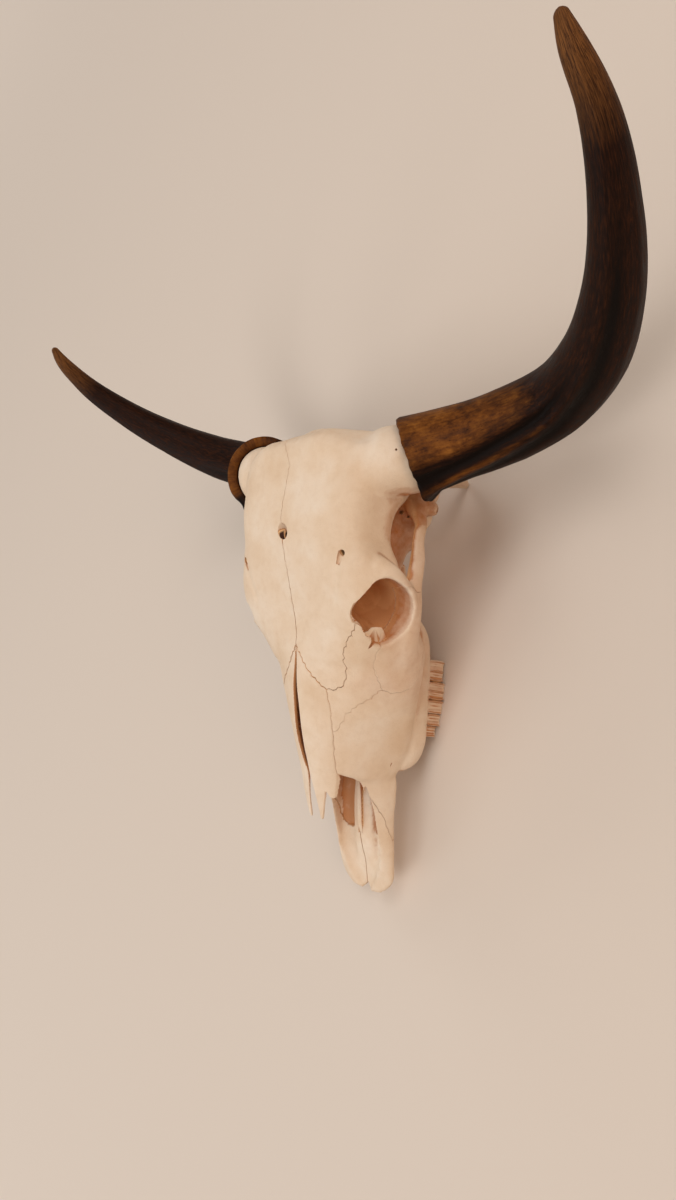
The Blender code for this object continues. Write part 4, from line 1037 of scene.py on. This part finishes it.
# ---------------------------------------------------------------- surface relief and stain
def relief_tree(name, material, layers, vector=None):
    """Geometry Nodes: an uneven surface, as layers of hills of given sizes pushed along the normal.

    vector names an attribute to lay the hills out by, such as the fibres of a horn.
    """
    tree = bpy.data.node_groups.new(name, "GeometryNodeTree")
    face = tree.interface
    face.new_socket("Geometry", in_out="INPUT", socket_type="NodeSocketGeometry")
    for label in layers:
        for size in (" height", " width"):
            face.new_socket(label + size, in_out="INPUT", socket_type="NodeSocketFloat")
    face.new_socket("Geometry", in_out="OUTPUT", socket_type="NodeSocketGeometry")
    start = add(tree, "NodeGroupInput")
    if vector:
        place = add(tree, "GeometryNodeInputNamedAttribute", {"Name": vector}, data_type="FLOAT_VECTOR")
    else:
        place = add(tree, "GeometryNodeInputPosition")
    total = 0.0
    for seed, label in enumerate(layers):
        scale = add(tree, "ShaderNodeMath", {0: 1.0, 1: start.outputs[label + " width"]}, operation="DIVIDE")
        hills = add(tree, "ShaderNodeTexNoise", {"Vector": place.outputs[0], "W": 3.1 + seed,
                                                 "Scale": scale.outputs[0], "Detail": 2.0},
                    noise_dimensions="4D")
        level = add(tree, "ShaderNodeMath", {0: hills.outputs[0], 1: 0.5}, operation="SUBTRACT")
        height = add(tree, "ShaderNodeMath",
                     {0: level.outputs[0], 1: start.outputs[label + " height"], 2: total},
                     operation="MULTIPLY_ADD")
        total = height.outputs[0]
    outwards = add(tree, "GeometryNodeInputNormal").outputs[0]
    push = add(tree, "ShaderNodeVectorMath", {0: outwards, "Scale": total}, operation="SCALE")
    moved = add(tree, "GeometryNodeSetPosition", {"Geometry": start.outputs["Geometry"],
                                                  "Offset": push.outputs[0]})
    real = add(tree, "GeometryNodeRealizeInstances", {0: moved.outputs[0]})
    finished = add(tree, "GeometryNodeSetMaterial", {"Geometry": real.outputs[0], "Material": material})
    add(tree, "NodeGroupOutput", {0: finished.outputs[0]})
    return tree


def weather(obj, tree, **sizes):
    """Runs a relief tree on the object, with its sizes by their names."""
    modifier = obj.modifiers.new("relief", "NODES")
    modifier.node_group = tree
    for item in tree.interface.items_tree:
        key = item.name.replace(" ", "_").lower()
        if item.in_out == "INPUT" and key in sizes:
            modifier[item.identifier] = sizes[key]
    return settle(obj)


def coordinates(obj):
    """Points and normals of the object, the points in the tables' millimetres."""
    count = len(obj.data.vertices)
    points = np.empty(count * 3)
    obj.data.vertices.foreach_get("co", points)
    normals = np.empty(count * 3)
    obj.data.vertex_normals.foreach_get("vector", normals)
    points = points.reshape(-1, 3) / MM
    points[:, 1] += CENTRE_Y
    return points, normals.reshape(-1, 3)


def press(obj, path, width, depth):
    """Sinks a groove of a width and depth into the surface along a path; a negative depth raises a ridge."""
    points, normals = coordinates(obj)
    path = np.array(path, float)
    nearest = np.full(len(points), 1e9)
    for a, b in zip(path, path[1:]):
        t = np.clip(((points - a) @ (b - a)) / max(1e-6, (b - a) @ (b - a)), 0, 1)
        nearest = np.minimum(nearest, np.linalg.norm(points - a - t[:, None] * (b - a), axis=1))
    amount = depth * np.exp(-(nearest / width) ** 2)
    points = points - normals * amount[:, None]
    points[:, 1] -= CENTRE_Y
    obj.data.vertices.foreach_set("co", (points * MM).ravel())
    obj.data.update()


def write_values(obj, label, values):
    """Keeps a value for each point of the object, for its material to read."""
    obj.data.attributes.new(label, "FLOAT", "POINT").data.foreach_set("value", values.astype(np.float32))


def closed_sky(obj, all_bones, seed=5):
    """How much of its sky is closed off at each point, from 0 in the open to 1 deep in a hollow."""
    chance = random.Random(seed)
    rays = []
    while len(rays) < SKY_RAYS:
        ray = Vector([chance.uniform(-1, 1) for _ in range(3)])
        if 0.1 < ray.length < 1:
            rays.append(ray.normalized())
    values = np.empty(len(obj.data.vertices), np.float32)
    for vert, normal in zip(obj.data.vertices, obj.data.vertex_normals):
        n = normal.vector
        start = vert.co + n * 0.0012
        shut = 0.0
        for ray in rays:
            hit = all_bones.ray_cast(start, (n * 1.05 + ray).normalized(), SKY_REACH)
            if hit[0] is not None:
                shut += 1 - hit[3] / 0.13
        values[vert.index] = shut / SKY_RAYS
    return values


def rise(values, start, end):
    """From 0 at start to 1 at end, and level beyond them."""
    return np.clip((values - start) / (end - start), 0, 1)


def stain(obj, all_bones):
    """Painted shade at each point, in brown, from how much of its sky is shut off and from where it lies."""
    values = closed_sky(obj, all_bones)
    points, normals = coordinates(obj)
    x, y, z = points.T
    sideways = normals[:, 0] * np.sign(x)        # 1 where the surface faces out to its own side
    # spots of painted shade; surfaces facing up and the outer cheek bars get none
    sunk = rise(-normals[:, 2], -0.75, -0.45) * np.clip((99 - np.abs(x)) / 6 + (y > 108), 0, 1)
    for *spot, radius, strength in SHADE_SPOTS:
        away = np.linalg.norm(points - spot, axis=1) / radius
        values = values + (strength - values) * sunk * np.clip(1.6 - 1.6 * away, 0, 1)
    # the splinter in each socket gets almost none of the painted shade
    for side in (1, -1):
        centre, axis, front, _, _ = eye_shape(side, 0)
        away = points - centre
        across = away @ front
        beside = np.abs(away @ axis - FLAKE_DEPTH - FLAKE_LEAN * (across - FLAKE_FOOT))
        middle = np.linalg.norm(away - np.outer(away @ axis, axis), axis=1)
        values = values * (1 - 0.9 * (beside < 1.2) * (middle < 29.5) * (across > 12))
    if obj.name.startswith("nasal"):
        # painted shade on the edges that face each other across the open middle
        edge = rise(np.abs(normals[:, 0]), 0.6, 0.8) * (np.abs(x) < 13) * (np.abs(y + 84) < 58)
        values = np.maximum(values, 0.5 * edge)
    if "maxilla" in obj.name:
        # painted shade on the floor and walls of the nose passage, less at its front end
        room = (np.abs(x) < 34) * (z > 42)
        if obj.name.startswith("pre"):
            room = room * 0.5 * rise(y, -222, -192)
        inward = np.clip(-1.2 * sideways + np.clip(normals[:, 2], 0, 1) * (z < 66), 0, 1)
        values = np.maximum(values, 0.44 * inward * room)
    # painted shade on the cheeks where they face sideways
    cheek = rise(sideways, 0.3, 0.9) * rise(np.abs(x), 44, 58) * rise(y, -92, -50) * rise(-z, -162, -137)
    write_values(obj, "stain", np.maximum(values, 0.17 * cheek))


# ---------------------------------------------------------------- the bones
BONE = dry_bone()
ENAMEL = worn_enamel()
KERATIN = horn_keratin()

skull = combine(loft("skull", BROW), bone_masses(), "UNION")
fuse(skull, 2.2, 8)
combine(skull, hollows(), "DIFFERENCE")
combine(skull, [loft("palate", PALATE)] + [sweep("palate_lip", PALATE_LIP, side) for side in (1, -1)],
        "UNION")
fuse(skull, BONE_GRAIN, 5)
for side in (1, -1):
    # groove that runs forward from the nerve hole of the brow
    groove = [(77, 59, 194), (74, 48, 191), (69, 36, 188), (65, 25, 185)]
    press(skull, [(side * x, y, z) for x, y, z in groove], 4.0, 1.2)
    # the two low humps of the poll, the dips beside them, and the hollows under its crest
    press(skull, [(side * 46, 184, 211), (side * 50, 190, 206)], 17, -3.0)
    press(skull, [(side * 90, 176, 213), (side * 92, 186, 200)], 13, 4.5)
    press(skull, [(side * 30, 203, 146), (side * 40, 199, 120)], 15, 4.0)
bone_relief = relief_tree("bone_relief", BONE, ("Hill", "Grain"))
weather(skull, bone_relief, hill_height=0.0016, hill_width=0.03, grain_height=0.0005, grain_width=0.006)
combine(skull, [eye_break(side) for side in (1, -1)], "DIFFERENCE")
combine(skull, [flake(side) for side in (1, -1)], "UNION")
combine(skull, holes(), "DIFFERENCE")

fronto_nasal = jagged(FRONTO_NASAL, 1.3, 3.2, 11)
fronto_lacrimal = jagged(FRONTO_LACRIMAL, 1.1, 3.4, 12)
naso_lacrimal = jagged(NASO_LACRIMAL, 0.5, 5, 13)
naso_maxillary = jagged(NASO_MAXILLARY, 0.4, 5, 14)
lacrimo_maxillary = jagged(LACRIMO_MAXILLARY, 1.0, 3.6, 15)
nasal_lateral = fronto_nasal + naso_lacrimal[1:] + naso_maxillary[1:]
slot_outline = nasal_lateral + [(28, -300), (0, -300), (0, -19.7)]
lacrimal_outline = fronto_lacrimal + [(118, 14)] + lacrimo_maxillary + naso_lacrimal[::-1][1:-1]
frontal_outline = [(0, -19.7)] + fronto_nasal[1:] + fronto_lacrimal[1:] + [(150, 20), (150, 260), (0, 260)]
muzzle_outline = jagged(MUZZLE_SUTURE, 0.6, 4.5, 16) + [(-300, 0), (-300, 126)]
cheek_outline = jagged(CHEEK_EDGE, 0.7, 4, 17)

bones = {}
for side, label in ((1, "left"), (-1, "right")):
    # nasal: the skin of the face between its own edges
    nasal = plan_block(nasal_lateral + NASAL_TIP + NASAL_MIDDLE[side], NASAL_LOW, ABOVE, side, -SEAM / 2)
    nasal.name = "nasal_bone_" + label
    roof = combine(loft("roof", FACE), [inner_face(NASAL_THICK)], "DIFFERENCE")
    bones["nasal_" + label] = fuse(combine(nasal, [roof], "INTERSECT"), 0.7, 6)
    combine(skull, [plan_block(slot_outline, NASAL_SLOT, ABOVE, side, GAP)], "DIFFERENCE")

    # cheekbone, from the face to the middle of the cheek bar
    bones["cheekbone_" + label] = parted(
        skull, "cheekbone_bone_" + label,
        [side_block(cheek_outline, CHEEK_DEPTH, 150, side, -TIGHT_SEAM / 2, CHEEK_SLOPE)],
        [side_block(cheek_outline, CHEEK_DEPTH - SEAM, 150, side, TIGHT_SEAM / 2, CHEEK_SLOPE)])

    # lacrimal: a plate in front of the eye
    plates = [combine(plan_block(lacrimal_outline, LACRIMAL_LOW - deeper, ABOVE, side, wider),
                      [inner_face(LACRIMAL_THICK + deeper)], "DIFFERENCE")
              for deeper, wider in ((0, -TIGHT_SEAM / 2), (SEAM, TIGHT_SEAM / 2))]
    bones["lacrimal_" + label] = parted(skull, "lacrimal_bone_" + label, plates[:1], plates[1:])

    # premaxilla, with its plate along the middle of the palate
    middle = [(PALATE_BACK, 0), (PALATE_BACK, 100), (-300, 100), (-300, 0)]
    keep = combine(side_block(muzzle_outline, PALATE_HALF, MUZZLE_WIDE, side, -SEAM / 2),
                   [side_block(middle, SEAM / 2, PALATE_HALF + 0.01, side, -SEAM / 2)], "UNION")
    cut = [side_block(muzzle_outline, PALATE_HALF, MUZZLE_WIDE, side, SEAM / 2),
           side_block(middle, -1, PALATE_HALF + 0.01 + SEAM, side, SEAM / 2)]
    bones["premaxilla_" + label] = parted(skull, "premaxilla_bone_" + label, [keep], cut)

# vomer: a keel let into the floor of the nose passage
vomer = side_block(VOMER_EDGE, -VOMER_HALF, VOMER_HALF, 1)
vomer.name = "vomer_bone"
bones["vomer"] = fuse(vomer, 0.8, 4)
for body in (bones["premaxilla_left"], bones["premaxilla_right"], skull):
    combine(body, [side_block(VOMER_EDGE, -VOMER_HALF - SEAM, VOMER_HALF + SEAM, 1, SEAM)], "DIFFERENCE")

# the upper jaws, each with its row of teeth, and the cranium behind them
for side, label in ((1, "left"), (-1, "right")):
    maxilla = copy_of(skull, "maxilla_bone_" + label)
    half = [(-300, 0), (-300, ABOVE), (JAW_BACK, ABOVE), (JAW_BACK, 0)]
    combine(maxilla, [side_block(half, SEAM / 2, 140, side)], "INTERSECT")
    combine(maxilla, [plan_block(frontal_outline, FRONTAL_LEVEL - SEAM / 2, 250, side, SEAM / 2)],
            "DIFFERENCE")
    largest(maxilla)
    maxilla.data.materials.clear()
    maxilla.data.materials.append(BONE)
    row = teeth(side)
    for one in row:
        one.data.materials.append(ENAMEL)
    bones["maxilla_" + label] = combine(maxilla, row, "UNION")
front = [(-150, -300), (-150, JAW_BACK + SEAM), (150, JAW_BACK + SEAM), (150, -300)]
combine(skull, [plan_block(front, -20, FRONTAL_LEVEL + SEAM / 2, 1)], "DIFFERENCE")
brow = frontal_outline + [(-x, y) for x, y in reversed(frontal_outline) if x]
combine(skull, [plan_block(brow, -50, 300, 1, -SEAM / 2 - GAP)], "INTERSECT")
skull.name = "cranium_bone"
bones["cranium"] = largest(skull)

corners, polygons = [], []
for bone in bones.values():
    polygons += [tuple(i + len(corners) for i in face.vertices) for face in bone.data.polygons]
    corners += [tuple(vert.co) for vert in bone.data.vertices]
all_bones = BVHTree.FromPolygons(corners, polygons)
for node, bone in bones.items():
    if ENAMEL.name not in bone.data.materials:
        bone.data.materials.clear()
        bone.data.materials.append(BONE)
    bone.data.shade_smooth()
    bone.data.set_sharp_from_angle(angle=math.radians(38))
    stain(bone, all_bones)
    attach(bone, "root")
    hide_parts(node)

horn_growth = relief_tree("horn_growth", KERATIN, ("Strand", "Wave"), "fibre")
for side, label in ((1, "left"), (-1, "right")):
    sheath = horn("horn_sheath_" + label, side)
    weather(sheath, horn_growth, strand_height=0.0005, strand_width=0.16,
            wave_height=0.0012, wave_width=1.1)
    sheath.data.shade_smooth()
    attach(sheath, "root")
    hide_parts("horn_" + label)

# ---------------------------------------------------------------- floor, lights and camera
# matt wall paint: a plain, pale, warm grey without gloss
floor_material, _, floor_shader = new_material("matt_warm_paint", 0.85, 1.45)
floor_shader.inputs["Base Color"].default_value = linear("#DBCCBE")
bpy.ops.mesh.primitive_plane_add(size=14, location=(0, 0, 0))
floor = bpy.context.object
floor.name = "floor"
floor.data.materials.append(floor_material)

world = bpy.data.worlds.new("studio")
world.use_nodes = True
sky = world.node_tree.nodes["Background"].inputs
sky["Color"].default_value = linear("#F2E6D8")
sky["Strength"].default_value = 0.22
bpy.context.scene.world = world

# soft lamps in a ring: azimuth and elevation in degrees, power in watts, and colour where it isn't white
LAMP_AWAY = 5.5
for azimuth, elevation, energy, *tint in (
        (0, 25, 64, "#FFDDBE"), (45, 25, 9, "#FFEBDC"), (135, 25, 51), (180, 25, 23), (225, 25, 64),
        (0, 55, 45), (45, 55, 77), (225, 55, 20), (270, 55, 88)):
    lamp = bpy.data.lights.new("soft_lamp", "AREA")
    lamp.size = 2.3
    lamp.energy = 0.86 * energy
    lamp.color = linear(tint[0] if tint else "#FFFFFF")[:3]
    holder = bpy.data.objects.new("soft_lamp", lamp)
    a, e = math.radians(azimuth), math.radians(elevation)
    away = Vector((math.cos(a) * math.cos(e), math.sin(a) * math.cos(e), math.sin(e)))
    holder.location = away * LAMP_AWAY + Vector((0, 0, 0.1))
    holder.rotation_euler = (-away).to_track_quat("-Z", "Y").to_euler()
    bpy.context.scene.collection.objects.link(holder)

bpy.context.scene.view_settings.view_transform = "Standard"
lens = bpy.data.cameras.new("camera")
lens.sensor_fit = "VERTICAL"
lens.sensor_height = 36
lens.lens = 24
lens.clip_start = 0.01
camera = bpy.data.objects.new("camera", lens)
camera.matrix_world = Matrix(((0.63814758, 0.00265126, 0.7699095, 0.66206),
                              (0.12415521, 0.98655198, -0.10630464, -0.08962),
                              (-0.75983758, 0.16342633, 0.62923659, 0.66548),
                              (0, 0, 0, 1)))
bpy.context.scene.collection.objects.link(camera)
bpy.context.scene.camera = camera
